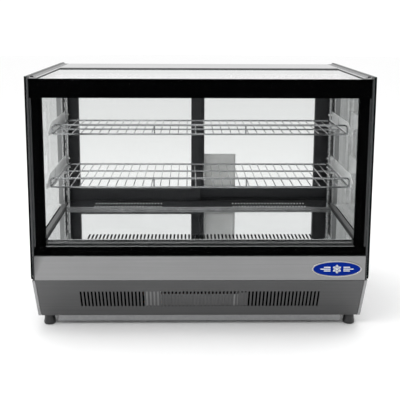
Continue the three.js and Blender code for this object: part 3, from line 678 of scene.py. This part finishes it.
# ----------------------------------------------------------------------------- black ceramic border in the glazing gap
def frit():
    lo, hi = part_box("front_glass")
    glo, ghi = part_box("glazing_frame")
    y0, y1 = hi.y + 0.06 * mm, hi.y + 0.20 * mm
    xi, zb, zh = 0.4005, 0.2425, 0.6295
    bm = bmesh.new()
    bm_box(bm, lo.x + 0.3 * mm, hi.x - 0.3 * mm, y0, y1, zh, hi.z - 0.4 * mm)
    bm_box(bm, lo.x + 0.3 * mm, hi.x - 0.3 * mm, y0, y1, lo.z + 0.4 * mm, zb)
    for s in (-1, 1):
        a, b = sorted((s * xi, s * ghi.x))
        bm_box(bm, a, b, y0, y1, zb, zh)
    obj("front_border", bm, M["frit"], "cabinet")
    for s in (-1, 1):
        nm = "side_glass_right" if s > 0 else "side_glass_left"
        lo2, hi2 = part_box(nm)
        xin = lo2.x if s > 0 else hi2.x           # inner face
        a, b = sorted((xin - s * 0.06 * mm, xin - s * 0.20 * mm))
        bm = bmesh.new()
        y0, y1, z0, z1 = lo2.y + 0.4 * mm, hi2.y - 0.4 * mm, lo2.z + 0.6 * mm, hi2.z - 0.4 * mm
        bm_prism(bm, "x", [(y0, z0 + 12 * mm), (y0 + 3.5 * mm, z0 + 3.5 * mm), (y0 + 12 * mm, z0), (y1, z0), (y1, 0.2425), (y0, 0.2425)], a, b)
        bm_box(bm, a, b, y0, y1, 0.6410, z1)
        bm_box(bm, a, b, y0, y0 + 22 * mm, 0.2425, 0.6410)
        bm_box(bm, a, b, y1 - 16 * mm, y1, 0.2425, 0.6410)
        obj(nm + "_border", bm, M["frit"], "cabinet")
        # front edge of the side pane, painted black, rounded
        bm = bmesh.new()
        x0, x1 = sorted((s * 0.4351, s * 0.43985))
        yf = lo2.y
        prof = [(yf + 0.0 * mm, z1), (yf - 0.22 * mm, z1 - 1 * mm), (yf - 0.22 * mm, z0 + 12 * mm)]
        bm_box(bm, x0, x1, yf - 0.22 * mm, yf - 0.02 * mm, z0 + 12 * mm, z1)
        r = 12 * mm
        last = None
        P = []
        for k in range(9):
            t = k * math.pi / 16
            P.append(((yf + r - (r + 0.2 * mm) * math.cos(t)), z0 - 0.6 * mm + r - (r + 0.2 * mm) * math.sin(t)))
        Q = [((yf + r - (r + 0.02 * mm) * math.cos(k * math.pi / 16)), z0 - 0.6 * mm + r - (r + 0.02 * mm) * math.sin(k * math.pi / 16)) for k in range(9)]
        bm_prism(bm, "x", P + Q[::-1], x0, x1)
        obj(nm + "_edge", bm, M["frit"], "cabinet")
        # black corner seal beside the upper fascia
        bm = bmesh.new()
        x0, x1 = sorted((s * 0.4309, s * 0.4346))
        bm_box(bm, x0, x1, -0.2796, -0.262, 0.1545, 0.2186)
        obj("corner_seal_" + ("right" if s > 0 else "left"), bm, M["rubber"], "cabinet", bevel=0.0008)


frit()

# ----------------------------------------------------------------------------- badge: domed enamel oval in a bright rim, plain snowflake emblem
def badge():
    lo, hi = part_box("badge_plate")
    cx, cz = (lo.x + hi.x) / 2, (lo.z + hi.z) / 2
    A, B = (hi.x - lo.x) / 2, (hi.z - lo.z) / 2
    yb, yf = hi.y, lo.y
    n = 96

    def ring(bm, a, b, y):
        return [bm.verts.new((cx + a * math.cos(2 * math.pi * k / n), y, cz + b * math.sin(2 * math.pi * k / n))) for k in range(n)]

    def skin(bm, rings, close=True):
        for P, Q in zip(rings, rings[1:]):
            for k in range(n):
                bm.faces.new((P[k], P[(k + 1) % n], Q[(k + 1) % n], Q[k]))
    bm = bmesh.new()
    e = 4.6 * mm
    rs = [ring(bm, A - e, B - e, yb), ring(bm, A - 0.3 * mm, B - 0.3 * mm, yb), ring(bm, A, B, yb - 0.5 * mm), ring(bm, A - 0.6 * mm, B - 0.6 * mm, yf + 0.25 * mm), ring(bm, A - 1.8 * mm, B - 1.8 * mm, yf),
          ring(bm, A - 3.2 * mm, B - 3.2 * mm, yf + 0.1 * mm), ring(bm, A - 4.2 * mm, B - 4.2 * mm, yf + 0.5 * mm), ring(bm, A - e, B - e, yf + 0.95 * mm)]
    skin(bm, rs + [rs[0]])
    obj("badge_rim", bm, M["badge_rim"], "cabinet", smooth=60)
    bm = bmesh.new()
    a, b = A - e + 0.1 * mm, B - e + 0.1 * mm
    rs = [ring(bm, a, b, yb - 0.05 * mm)]
    for f in (1.0, 0.97, 0.9, 0.75, 0.55, 0.32):
        rs.append(ring(bm, a * f, b * f, yf + (0.75 - 0.55 * (1 - f * f) ** 0.8) * mm))
    skin(bm, rs)
    bm.faces.new(rs[-1])
    bm.faces.new(rs[0][::-1])
    o = obj("badge_field", bm, M["blue"], "cabinet", smooth=60, replaces=("badge_plate",))
    # emblem: a six-armed snow crystal between two fine bars
    bm = bmesh.new()
    y0, y1 = yf + 0.02 * mm, yf + 0.9 * mm

    def bar(ax, az, bx, bz, w):
        d = Vector((bx - ax, 0, bz - az)).normalized()
        s = Vector((-d.z, 0, d.x)) * w / 2
        p = [Vector((cx + ax, y0, cz + az)), Vector((cx + bx, y0, cz + bz))]
        q = [p[0] + s, p[0] - s, p[1] - s, p[1] + s]
        bot = [bm.verts.new(v) for v in q]
        top = [bm.verts.new(v + Vector((0, y1 - y0, 0))) for v in q]
        for k in range(4):
            bm.faces.new((bot[k], bot[(k + 1) % 4], top[(k + 1) % 4], top[k]))
        bm.faces.new(bot[::-1])
        bm.faces.new(top)
    R = 11.5 * mm
    for k in range(6):
        an = math.pi / 6 + k * math.pi / 3
        c, s = math.cos(an), math.sin(an)
        bar(0, 0, R * c, R * s, 1.9 * mm)
        for f, l in ((0.45, 4.2), (0.72, 3.2)):
            for sg in (-1, 1):
                a2 = an + sg * math.radians(60)
                bar(R * f * c, R * f * s, R * f * c + l * mm * math.cos(a2), R * f * s + l * mm * math.sin(a2), 1.4 * mm)
    for sg in (-1, 1):
        for k, (z, l) in enumerate(((5.0, 17), (0.0, 26), (-5.0, 17))):
            bar(sg * 17 * mm, z * mm, sg * (17 + l) * mm, z * mm, 2.2 * mm)
    obj("badge_emblem", bm, M["emblem"], "cabinet")


badge()

# ----------------------------------------------------------------------------- feet
for nm in ("front_left", "front_right", "rear_left", "rear_right"):
    lo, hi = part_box("foot_" + nm)
    cx, cy = (lo.x + hi.x) / 2, (lo.y + hi.y) / 2
    bm = bmesh.new()
    pr = [(0, 0.4), (7.5, 0.4), (8.4, 0), (12.4, 0), (14.6, 0.9), (15.8, 2.9), (16.0, 6.0), (15.4, 10.0), (14.6, 14.0), (14.0, 19.0), (13.7, 24.0), (13.4, 30.6), (12.9, 31.9), (11.8, 32.4), (6.0, 32.6),
          (4.9, 33.0), (4.9, 51.6), (4.1, 52.6), (0, 52.8)]
    bm_lathe(bm, [(r * mm, z * mm) for r, z in pr], 56, centre=(cx, cy))
    for z, rr in ((17.0, 14.15), (20.5, 13.95), (24.0, 13.68)):          # fine raised grip rings
        pts = [(cx + rr * mm * math.cos(2 * math.pi * j / 40), cy + rr * mm * math.sin(2 * math.pi * j / 40), z * mm) for j in range(41)]
        bm_tube(bm, pts, 0.42 * mm, 6, caps=False)
    obj("foot_" + nm + "_turned", bm, M["foot"], "foot_" + nm, smooth=45, replaces=("foot_" + nm,))

# ----------------------------------------------------------------------------- screws and small trim
def screw(bm, p, axis, r=3.2, h=1.3):
    """Pan head with a cross recess."""
    n = 24
    d = {"-y": Vector((0, -1, 0)), "+y": Vector((0, 1, 0)), "+x": Vector((1, 0, 0)), "-x": Vector((-1, 0, 0)), "+z": Vector((0, 0, 1))}[axis]
    u = Vector((0, 0, 1)) if abs(d.z) < 0.5 else Vector((1, 0, 0))
    w = d.cross(u)
    p = Vector(p)
    prof = [(r, 0.0), (r, h * 0.3), (r * 0.9, h * 0.7), (r * 0.66, h * 0.95), (r * 0.4, h)]
    rings = [[bm.verts.new(p + (u * math.cos(2 * math.pi * k / n) + w * math.sin(2 * math.pi * k / n)) * rr * mm + d * hh * mm) for k in range(n)] for rr, hh in prof]
    base = rings[0]
    for A, B in zip(rings, rings[1:]):
        for k in range(n):
            bm.faces.new((A[k], A[(k + 1) % n], B[(k + 1) % n], B[k]))
    bm.faces.new(base[::-1])
    # cross recess: star-shaped inset pushed in
    last = rings[-1]
    star = []
    for k in range(n):
        a = 2 * math.pi * k / n
        rad = r * (0.36 if (k % 6 in (0,)) else 0.30 if (k % 6 in (1, 5)) else 0.12)
        star.append(bm.verts.new(p + (u * math.cos(a) + w * math.sin(a)) * rad * mm + d * (h - 0.02) * mm))
    deep = [bm.verts.new(v.co - d * 0.6 * mm) for v in star]
    for A, B in ((last, star), (star, deep)):
        for k in range(n):
            bm.faces.new((A[k], A[(k + 1) % n], B[(k + 1) % n], B[k]))
    bm.faces.new(deep)


bm = bmesh.new()
lo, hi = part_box("rear_panel")
yface = hi.y
for x in (-0.428, -0.21, 0.0, 0.26, 0.428):
    screw(bm, (x, yface - 0.02 * mm, 0.042), "+y", 2.8, 0.38)
for x in (-0.428, 0.428):
    for z in (0.13, 0.235):
        screw(bm, (x, yface - 0.02 * mm, z), "+y", 2.8, 0.38)
obj("rear_panel_screws", bm, M["trim"], "cabinet", smooth=40)

# black bumper screws on the front ends of the trims
for s in (-1, 1):
    bm = bmesh.new()
    bm_lathe(bm, [(0, 0), (4.6 * mm, 0), (4.6 * mm, 1.9 * mm), (4.1 * mm, 3.1 * mm), (2.6 * mm, 3.8 * mm), (0, 4.0 * mm)], 28, centre=(s * 0.4232, -0.2690))
    for v in bm.verts:
        v.co.z += 0.6808
    obj("trim_bumper_" + ("right" if s > 0 else "left"), bm, M["rubber"], "cabinet", smooth=40)

# ----------------------------------------------------------------------------- rear louvre blades
bm = bmesh.new()
lo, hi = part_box("rear_panel")
y = hi.y - 1.6 * mm
def blade(x0, x1, z):
    pts = [(y, z + 5.0 * mm), (y - 1.2 * mm, z + 4.6 * mm), (y - 6.5 * mm, z - 0.8 * mm), (y - 6.9 * mm, z - 0.2 * mm), (y - 1.4 * mm, z + 5.4 * mm), (y, z + 5.8 * mm)]
    bm_prism(bm, "x", pts, x0, x1)
for r in range(7):
    z = (60 + r * 15) * mm
    for c in range(4):
        x = (-392 + c * 86) * mm
        blade(x - 1 * mm, x + 75 * mm, z)
    blade(0.299, 0.401, z)
obj("rear_louvre_blades", bm, M["rear"], "cabinet")

# ----------------------------------------------------------------------------- controller face: digits and key marks
bm = bmesh.new()
lo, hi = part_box("control_display")
yd = hi.y + 0.05 * mm
def seg7(cx, cz, on, h=5.6 * mm, w=3.4 * mm, t=0.9 * mm):
    S = {"a": (0, h, 1), "g": (0, 0, 1), "d": (0, -h, 1), "f": (-w, h / 2, 0), "b": (w, h / 2, 0), "e": (-w, -h / 2, 0), "c": (w, -h / 2, 0)}
    for k in on:
        x, z, hor = S[k]
        x, z = cx - x, cz + z
        if hor:
            bm_box(bm, x - w + t, x + w - t, yd, yd + 0.12 * mm, z - t / 2, z + t / 2)
        else:
            bm_box(bm, x - t / 2, x + t / 2, yd, yd + 0.12 * mm, z - h / 2 + t / 2, z + h / 2 - t / 2)
cz = (lo.z + hi.z) / 2
# seen from behind, so the first digit and the left segments lie at higher x
seg7((lo.x + hi.x) / 2 + 5.6 * mm, cz, "abgcd")
seg7((lo.x + hi.x) / 2 - 5.6 * mm, cz, "afgcd")
bm_box(bm, (lo.x + hi.x) / 2 - 0.55 * mm, (lo.x + hi.x) / 2 + 0.55 * mm, yd, yd + 0.12 * mm, cz - 6.15 * mm, cz - 5.05 * mm)
obj("display_digits", bm, M["digits"], "cabinet")
for b in ("set", "up", "down"):
    lo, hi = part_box("button_" + b)
    cx, cz = (lo.x + hi.x) / 2, (lo.z + hi.z) / 2
    yb = hi.y
    bm = bmesh.new()
    if b == "set":
        n = 24
        for R, D in ((2.4, 1),):
            A = [bm.verts.new((cx + R * mm * math.cos(2 * math.pi * k / n), yb - 0.2 * mm, cz + R * mm * math.sin(2 * math.pi * k / n))) for k in range(n)]
            B = [bm.verts.new((v.co.x, yb + 0.12 * mm, v.co.z)) for v in A]
            C = [bm.verts.new((cx + (R - 0.8) * mm * math.cos(2 * math.pi * k / n), yb + 0.12 * mm, cz + (R - 0.8) * mm * math.sin(2 * math.pi * k / n))) for k in range(n)]
            E = [bm.verts.new((v.co.x, yb - 0.2 * mm, v.co.z)) for v in C]
            for P, Q in ((A, B), (B, C), (C, E), (E, A)):
                for k in range(n):
                    bm.faces.new((P[k], P[(k + 1) % n], Q[(k + 1) % n], Q[k]))
    else:
        s = 1 if b == "up" else -1
        bm_prism(bm, "y", [(cx - 2.4 * mm, cz - s * 1.6 * mm), (cx + 2.4 * mm, cz - s * 1.6 * mm), (cx, cz + s * 2.4 * mm)], yb - 0.2 * mm, yb + 0.12 * mm)
    obj("key_mark_" + b, bm, M["emblem"], "button_" + b)

# ----------------------------------------------------------------------------- blank card on the right door
lo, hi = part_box("door_right_frame")
bm = bmesh.new()
x0, x1, z0, z1 = 0.0186, 0.1160, 0.3012, 0.4060
n = 12
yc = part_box("door_right_glass")[0].y - 0.35 * mm
rows = []
for j in range(n + 1):
    row = []
    for i in range(n + 1):
        x = x0 + (x1 - x0) * i / n
        z = z0 + (z1 - z0) * j / n
        row.append(bm.verts.new((x, yc - 0.25 * mm * noise.noise(Vector((x * 30, z * 30, 2.0))), z)))
    rows.append(row)
for j in range(n):
    for i in range(n):
        bm.faces.new((rows[j][i], rows[j][i + 1], rows[j + 1][i + 1], rows[j + 1][i]))
o = obj("blank_card", bm, M["card"], "door_right", smooth=60)
s = o.modifiers.new("card", "SOLIDIFY")
s.thickness, s.offset = 0.25 * mm, 0

# ----------------------------------------------------------------------------- finned coils
def coil(node, pitch, axis_tubes="x", rows=2, cols=4):
    lo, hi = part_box(node)
    bm = bmesh.new()
    x0, x1 = lo.x + 9 * mm, hi.x - 9 * mm
    k = int((x1 - x0) / pitch)
    for i in range(k + 1):
        x = x0 + (x1 - x0) * i / k
        bm_box(bm, x - 0.12 * mm, x + 0.12 * mm, lo.y + 0.5 * mm, hi.y - 0.5 * mm, lo.z + 0.5 * mm, hi.z - 0.5 * mm, 0)
    for x in (x0 - 1.6 * mm, x1 + 0.4 * mm):
        bm_box(bm, x, x + 1.2 * mm, lo.y + 0.1 * mm, hi.y - 0.1 * mm, lo.z + 0.1 * mm, hi.z - 0.1 * mm, 1)
    ys = [lo.y + (hi.y - lo.y) * (j + 0.5) / rows for j in range(rows)]
    zs = [lo.z + (hi.z - lo.z) * (j + 0.5) / cols for j in range(cols)]
    for y in ys:
        for z in zs:
            rod(bm, (lo.x + 4 * mm, y, z), (hi.x - 4 * mm, y, z), 3.6 * mm, 10, 2)
    for j in range(cols - 1):
        for y in ys:
            s = 1 if j % 2 == 0 else -1
            xe = hi.x - 5 * mm if s > 0 else lo.x + 5 * mm
            za, zb = zs[j], zs[j + 1]
            pts = []
            for q in range(9):
                a = -math.pi / 2 + math.pi * q / 8
                pts.append((xe + s * 4.2 * mm * math.cos(a) * 0.3, y, (za + zb) / 2 + (zb - za) / 2 * math.sin(a)))
            bm_tube(bm, pts, 3.4 * mm, 10, 2)
    return obj(node + "_finned", bm, [M["fins"], M["galv"], M["copper"]], "cabinet", replaces=(node,))


coil("condenser_coil", 2.6 * mm, rows=1, cols=5)
coil("evaporator_coil", 4.5 * mm, rows=3, cols=2)

# ----------------------------------------------------------------------------- compressor
lo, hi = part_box("compressor")
cx, cy = 0.230, 0.010
bm = bmesh.new()
prof = [(0, 48), (30, 48.6), (44, 50.6), (56, 55), (64, 62), (68.6, 72), (69.9, 84), (69.9, 100.6), (71.3, 101.2), (71.4, 104.8), (69.9, 105.6), (69.2, 118), (66, 131), (59, 142), (47, 150.4), (30, 156), (14, 158.2), (0, 158.7)]
bm_lathe(bm, [(r * mm, z * mm) for r, z in prof], 64, 0, (cx, cy))
bm_box(bm, cx - 0.0998, cx + 0.0998, cy - 0.0618, cy + 0.0618, 0.0432, 0.0458, 1)
for a in (-0.084, 0.084):
    for b in (-0.048, 0.048):
        bm_lathe(bm, [(0, 0.0358), (0.0088, 0.0358), (0.0088, 0.0385), (0.0074, 0.0400), (0.0088, 0.0415), (0.0088, 0.0432), (0.0, 0.0432)], 24, 2, (cx + a, cy + b))
bm_lathe(bm, [(0, 0.0445), (0.0438, 0.0445), (0.0438, 0.0500), (0.0, 0.0505)], 40, 0, (cx, cy))
obj("compressor_body", bm, [M["iron"], M["galv"], M["rubber"]], "cabinet", smooth=35, replaces=("compressor",))

# ----------------------------------------------------------------------------- fan wheels
def wheel(node, centre, axis, hub, tip, a0, a1, blades, pitch):
    """Moulded fan wheel: swept, twisted blades on a domed hub."""
    bm = bmesh.new()
    c = Vector(centre)
    if axis == "z":
        def P(r, t, h): return (c.x + r * math.cos(t), c.y + r * math.sin(t), h)
    else:
        def P(r, t, h): return (c.x + r * math.cos(t), h, c.z + r * math.sin(t))
    n = 32
    pr = [(0.001, a0), (hub * 0.9, a0), (hub, a0 + (a1 - a0) * 0.1), (hub, a1 - (a1 - a0) * 0.15), (hub * 0.86, a1 - (a1 - a0) * 0.04), (0.001, a1)]
    rings = [[bm.verts.new(P(r, 2 * math.pi * k / n, h)) for k in range(n)] for r, h in pr]
    for A, B in zip(rings, rings[1:]):
        for k in range(n):
            bm.faces.new((A[k], A[(k + 1) % n], B[(k + 1) % n], B[k]))
    bm.faces.new(rings[0][::-1])
    bm.faces.new(rings[-1])
    nr, nc = 8, 6
    for b in range(blades):
        t0 = 2 * math.pi * b / blades
        top, bot = [], []
        for i in range(nr + 1):
            r = hub * 0.96 + (tip - hub * 0.96) * i / nr
            chord = (0.95 - 0.25 * i / nr) * pitch * hub / r
            sweep = 0.30 * (i / nr) ** 1.5
            rowt, rowb = [], []
            for j in range(nc + 1):
                f = j / nc
                t = t0 + sweep + chord * (f - 0.5)
                h = a0 + (a1 - a0) * (0.12 + 0.72 * f) + 0.0010 * math.sin(math.pi * f)
                rowt.append(bm.verts.new(P(r, t, h + 0.0006)))
                rowb.append(bm.verts.new(P(r, t, h - 0.0006)))
            top.append(rowt)
            bot.append(rowb)
        for i in range(nr):
            for j in range(nc):
                bm.faces.new((top[i][j], top[i][j + 1], top[i + 1][j + 1], top[i + 1][j]))
                bm.faces.new((bot[i][j], bot[i + 1][j], bot[i + 1][j + 1], bot[i][j + 1]))
        for i in range(nr):
            for j in (0, nc):
                bm.faces.new((top[i][j], top[i + 1][j], bot[i + 1][j], bot[i][j]))
        for j in range(nc):
            for i in (0, nr):
                bm.faces.new((top[i][j], top[i][j + 1], bot[i][j + 1], bot[i][j]))
    obj(node + "_wheel", bm, M["plastic"], node, smooth=40, replaces=(node,))


lo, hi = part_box("evaporator_fan")
wheel("evaporator_fan", (0.120, -0.045, 0), "z", 0.0175, 0.0495, lo.z + 0.1 * mm, hi.z - 0.1 * mm, 7, 1.5)
lo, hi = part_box("condenser_fan")
wheel("condenser_fan", (-0.036, 0, 0.094), "y", 0.0170, 0.0478, lo.y + 0.1 * mm, hi.y - 0.1 * mm, 5, 2.0)

# cord gland: ribbed rubber grommet round the open hole
lo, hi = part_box("cord_inlet")
cx, cz = (lo.x + hi.x) / 2, (lo.z + hi.z) / 2
bm = bmesh.new()
n = 40
pr = [(4.5, lo.y), (10.8, lo.y), (10.8, lo.y + 3 * mm), (9.4, lo.y + 4 * mm), (9.4, hi.y - 3.2 * mm), (10.8, hi.y - 2.2 * mm), (10.8, hi.y - 0.8 * mm), (9.9, hi.y), (5.6, hi.y), (4.5, hi.y - 1 * mm)]
rings = [[bm.verts.new((cx + r * mm * math.cos(2 * math.pi * k / n), y, cz + r * mm * math.sin(2 * math.pi * k / n))) for k in range(n)] for r, y in pr]
for A, B in zip(rings, rings[1:] + rings[:1]):
    for k in range(n):
        bm.faces.new((A[k], A[(k + 1) % n], B[(k + 1) % n], B[k]))
obj("cord_grommet", bm, M["rubber"], "cabinet", smooth=40, replaces=("cord_inlet",))

# ----------------------------------------------------------------------------- slotted shelf standards
def standard(s):
    nm = "shelf_standard_" + ("right" if s > 0 else "left")
    lo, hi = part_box(nm)
    x0, x1, y0, y1, z0, z1 = lo.x, hi.x, lo.y, hi.y, lo.z, hi.z
    t = 1.6 * mm
    bm = bmesh.new()
    # flanges with in-turned lips
    for xa, sg in ((x0, 1), (x1, -1)):
        pts = [(xa, y0), (xa + sg * 4.6 * mm, y0), (xa + sg * 4.6 * mm, y0 + t), (xa + sg * t, y0 + t), (xa + sg * t, y1 - t), (xa, y1 - t)]
        bm_prism(bm, "z", pts, z0, z1, 0)
    # web with slots: rows of cells, closed by solid bars
    xc = (x0 + x1) / 2
    w = 3.0 * mm
    zs = [z0]
    for k in range(15):
        a = 0.282 + 0.025 * k
        if a + 0.015 < z1:
            zs += [a, a + 0.015]
    zs.append(z1)
    for i, (a, b) in enumerate(zip(zs, zs[1:])):
        if i % 2 == 0:
            bm_box(bm, x0 + t, x1 - t, y1 - t, y1, a, b, 1)
        else:
            bm_box(bm, x0 + t, xc - w, y1 - t, y1, a, b, 1)
            bm_box(bm, xc + w, x1 - t, y1 - t, y1, a, b, 1)
    obj(nm + "_channel", bm, [M["upright"], M["channel"]], "cabinet", replaces=(nm,), bevel=0.0003)
    # bright rivets and hooks at the brackets
    bm = bmesh.new()
    for z in (0.5370, 0.5190, 0.4025, 0.3850, 0.3746):
        xa = s * 0.4046
        bm_lathe(bm, [(0, 0), (2.9 * mm, 0), (2.9 * mm, 1.6 * mm), (2.3 * mm, 2.9 * mm), (1.2 * mm, 3.6 * mm), (0, 3.8 * mm)], 20, 0, (0.1085, z), "x")
        for v in bm.verts:
            if not v.tag:
                v.co.x = xa - s * v.co.x
                v.tag = True
    obj("bracket_rivets_" + ("right" if s > 0 else "left"), bm, M["polished"], "cabinet", smooth=40)
    # domed hook studs on the front of the standard
    bm = bmesh.new()
    for z in (0.5370, 0.4025, 0.3850, 0.3746):
        bm_lathe(bm, [(0, 0), (3.0 * mm, 0), (3.0 * mm, 1.4 * mm), (2.5 * mm, 2.9 * mm), (1.3 * mm, 3.8 * mm), (0, 4.1 * mm)], 22, 0, (s * 0.3957, z), "y")
        for v in bm.verts:
            if not v.tag:
                v.co.y = 0.1122 - v.co.y
                v.tag = True
    obj("hook_studs_" + ("right" if s > 0 else "left"), bm, M["polished"], "cabinet", smooth=40)


standard(-1)
standard(1)

# ----------------------------------------------------------------------------- lid seal with painted gap shade, trim flanges, spacer bars, painted-shade sheets behind the intake
# painted shade: this black strip is a seal and also darkens the shadow gap at the step behind the top glass
bm = bmesh.new()
bm_prism(bm, "x", [(0.0565, 0.67806), (0.0692, 0.67806), (0.0692, 0.68095), (0.0660, 0.68090), (0.0585, 0.67880)], -0.4086, 0.4086)
obj("lid_seal_and_gap_shade", bm, M["rubber"], "cabinet", bevel=0.0004)
for s in (-1, 1):
    bm = bmesh.new()
    pts = [(s * 0.4094, 0.67995), (s * 0.4094, 0.68050), (s * 0.4100, 0.68075), (s * 0.4146, 0.68125), (s * 0.4152, 0.68115), (s * 0.4152, 0.68045)]
    bm_prism(bm, "y", pts, -0.2745, 0.2600)
    obj("trim_flange_" + ("right" if s > 0 else "left"), bm, M["top"], "cabinet")
    bm = bmesh.new()
    bm_prism(bm, "y", [(s * 0.4156, 0.68050), (s * 0.4156, 0.68110), (s * 0.4164, 0.68125), (s * 0.4170, 0.68110), (s * 0.4170, 0.68070)], -0.2745, 0.2600)
    bm_prism(bm, "y", [(s * 0.4088, 0.67925), (s * 0.4088, 0.68000), (s * 0.4093, 0.68015), (s * 0.4093, 0.67925)], 0.0560, 0.2600)
    bm_prism(bm, "y", [(s * 0.4068, 0.67806), (s * 0.4068, 0.67835), (s * 0.4078, 0.67880), (s * 0.4091, 0.67885), (s * 0.4091, 0.67806)], -0.2740, 0.0560)
    obj("trim_bead_" + ("right" if s > 0 else "left"), bm, M["rubber"], "cabinet")
# aluminium spacer bar along the foot of the cavity between the panes
bm = bmesh.new()
lo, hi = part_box("front_glass_inner")
ya, yb = -0.2744, -0.2672
bm_box(bm, -0.4002, 0.4002, ya, yb, 0.24262, 0.24395)
obj("pane_spacer", bm, M["spacer"], "cabinet", bevel=0.0002)
# painted shade: near-black sheets behind the outer intake slots, parallel to the raked grille, stand in for the dark
# inside
bm = bmesh.new()
for x0, x1 in ((-0.345, -0.152), (0.104, 0.345)):
    p0, p1 = Vector((-0.280 + 0.0105, 0.1400)), Vector((-0.2147 - 0.0045, 0.0480))
    d = (p1 - p0).normalized()
    nrm = Vector((-d.y, d.x))
    if nrm.x < 0:
        nrm = -nrm
    p0, p1 = p0 + nrm * 4 * mm, p1 + nrm * 4 * mm
    bm_prism(bm, "x", [tuple(p0), tuple(p1), tuple(p1 + nrm * 1.0 * mm), tuple(p0 + nrm * 1.0 * mm)], x0, x1)
obj("intake_shade_sheets", bm, M["frit"], "cabinet")
# light coil shroud close behind the middle slots, with a patch at either end painted brighter as painted light
bm = bmesh.new()
rk = Vector((0.0673, -0.1225)).normalized()
rn = Vector((-rk.y, rk.x))
on = lambda s, d: (-0.282 + rk.x * s + rn.x * d, 0.1533 + rk.y * s + rn.y * d)
for x0, x1, s0, mi in ((-0.1030, 0.0850, 0.0555, 0), (0.1015, 0.1270, 0.0500, 0), (-0.1475, -0.1030, 0.0460, 1), (0.0850, 0.1015, 0.0560, 1)):
    bm_prism(bm, "x", [on(s0, 0.0023), on(0.1060, 0.0023), on(0.1060, 0.0030), on(s0, 0.0030)], x0 + 0.0002, x1 - 0.0002, mi)
obj("coil_shroud", bm, [M["shroud"], M["shroud_tab"]], "cabinet")

# ----------------------------------------------------------------------------- floor, light, camera
bm = bmesh.new()
n = 96
R = 14.0
c = bm.verts.new((0, 0, 0))
ring = [bm.verts.new((R * math.cos(2 * math.pi * k / n), R * math.sin(2 * math.pi * k / n), 0)) for k in range(n)]
for k in range(n):
    bm.faces.new((c, ring[k], ring[(k + 1) % n]))
fl = obj("studio_floor", bm, M["floor"], None)

w = bpy.data.worlds.new("studio")
SCN.world = w
w.use_nodes = True
bg = w.node_tree.nodes.get("Background") or w.node_tree.nodes.new("ShaderNodeBackground")
bg.inputs["Color"].default_value = (1.0, 1.0, 1.0, 1)
bg.inputs["Strength"].default_value = 1.10
# the room is a little dimmer on the right, in front of the object
nt = w.node_tree
tc = nt.nodes.new("ShaderNodeTexCoord")
sep = nt.nodes.new("ShaderNodeSeparateXYZ")
nt.links.new(tc.outputs["Generated"], sep.inputs[0])
fx = _range(nt, sep.outputs[0], 0.0, 1.0, -0.35, 0.45)
fy = _range(nt, sep.outputs[1], 1.0, 0.0, -0.5, -0.05)
dim = _range(nt, _add(nt, fx, fy, "MULTIPLY"), 1.10, 0.64, 0.0, 1.0)
nt.links.new(dim, bg.inputs["Strength"])
wo = next((x for x in w.node_tree.nodes if x.type == "OUTPUT_WORLD"), None) or w.node_tree.nodes.new("ShaderNodeOutputWorld")
w.node_tree.links.new(bg.outputs[0], wo.inputs[0])


def area(name, loc, target, size, power):
    d = bpy.data.lights.new(name, "AREA")
    d.shape = "RECTANGLE"
    d.size, d.size_y = size
    d.energy = power
    o = bpy.data.objects.new(name, d)
    SCN.collection.objects.link(o)
    o.location = loc
    o.rotation_euler = (Vector(target) - Vector(loc)).to_track_quat("-Z", "Y").to_euler()
    return o


area("key_softbox", (-1.6, -1.9, 2.6), (0, 0, 0.3), (1.8, 1.2), 36)
area("top_softbox", (0.2, 0.3, 3.0), (0, 0, 0.3), (2.6, 2.0), 22)

cam_d = bpy.data.cameras.new("photo_camera")
cam = bpy.data.objects.new("photo_camera", cam_d)
SCN.collection.objects.link(cam)
yaw, pitch, roll = math.radians(0.8415), math.radians(9.7404), math.radians(0.2098)
fwd = Vector((math.sin(yaw) * math.cos(pitch), math.cos(yaw) * math.cos(pitch), -math.sin(pitch)))
right = Vector((math.cos(yaw), -math.sin(yaw), 0))
up = right.cross(fwd)
r2 = right * math.cos(roll) + up * math.sin(roll)
u2 = -right * math.sin(roll) + up * math.cos(roll)
cam.matrix_world = Matrix(((r2.x, u2.x, -fwd.x, -0.0295), (r2.y, u2.y, -fwd.y, -2.1493), (r2.z, u2.z, -fwd.z, 0.8349), (0, 0, 0, 1)))
cam_d.sensor_width = 36
cam_d.lens = 750.86 / 400 * 36
cam_d.shift_y = -0.14
cam_d.clip_start, cam_d.clip_end = 0.05, 60
SCN.camera = cam
SCN.view_settings.view_transform = "Standard"
SCN.cycles.transparent_max_bounces = 24      # many panes lie behind one another
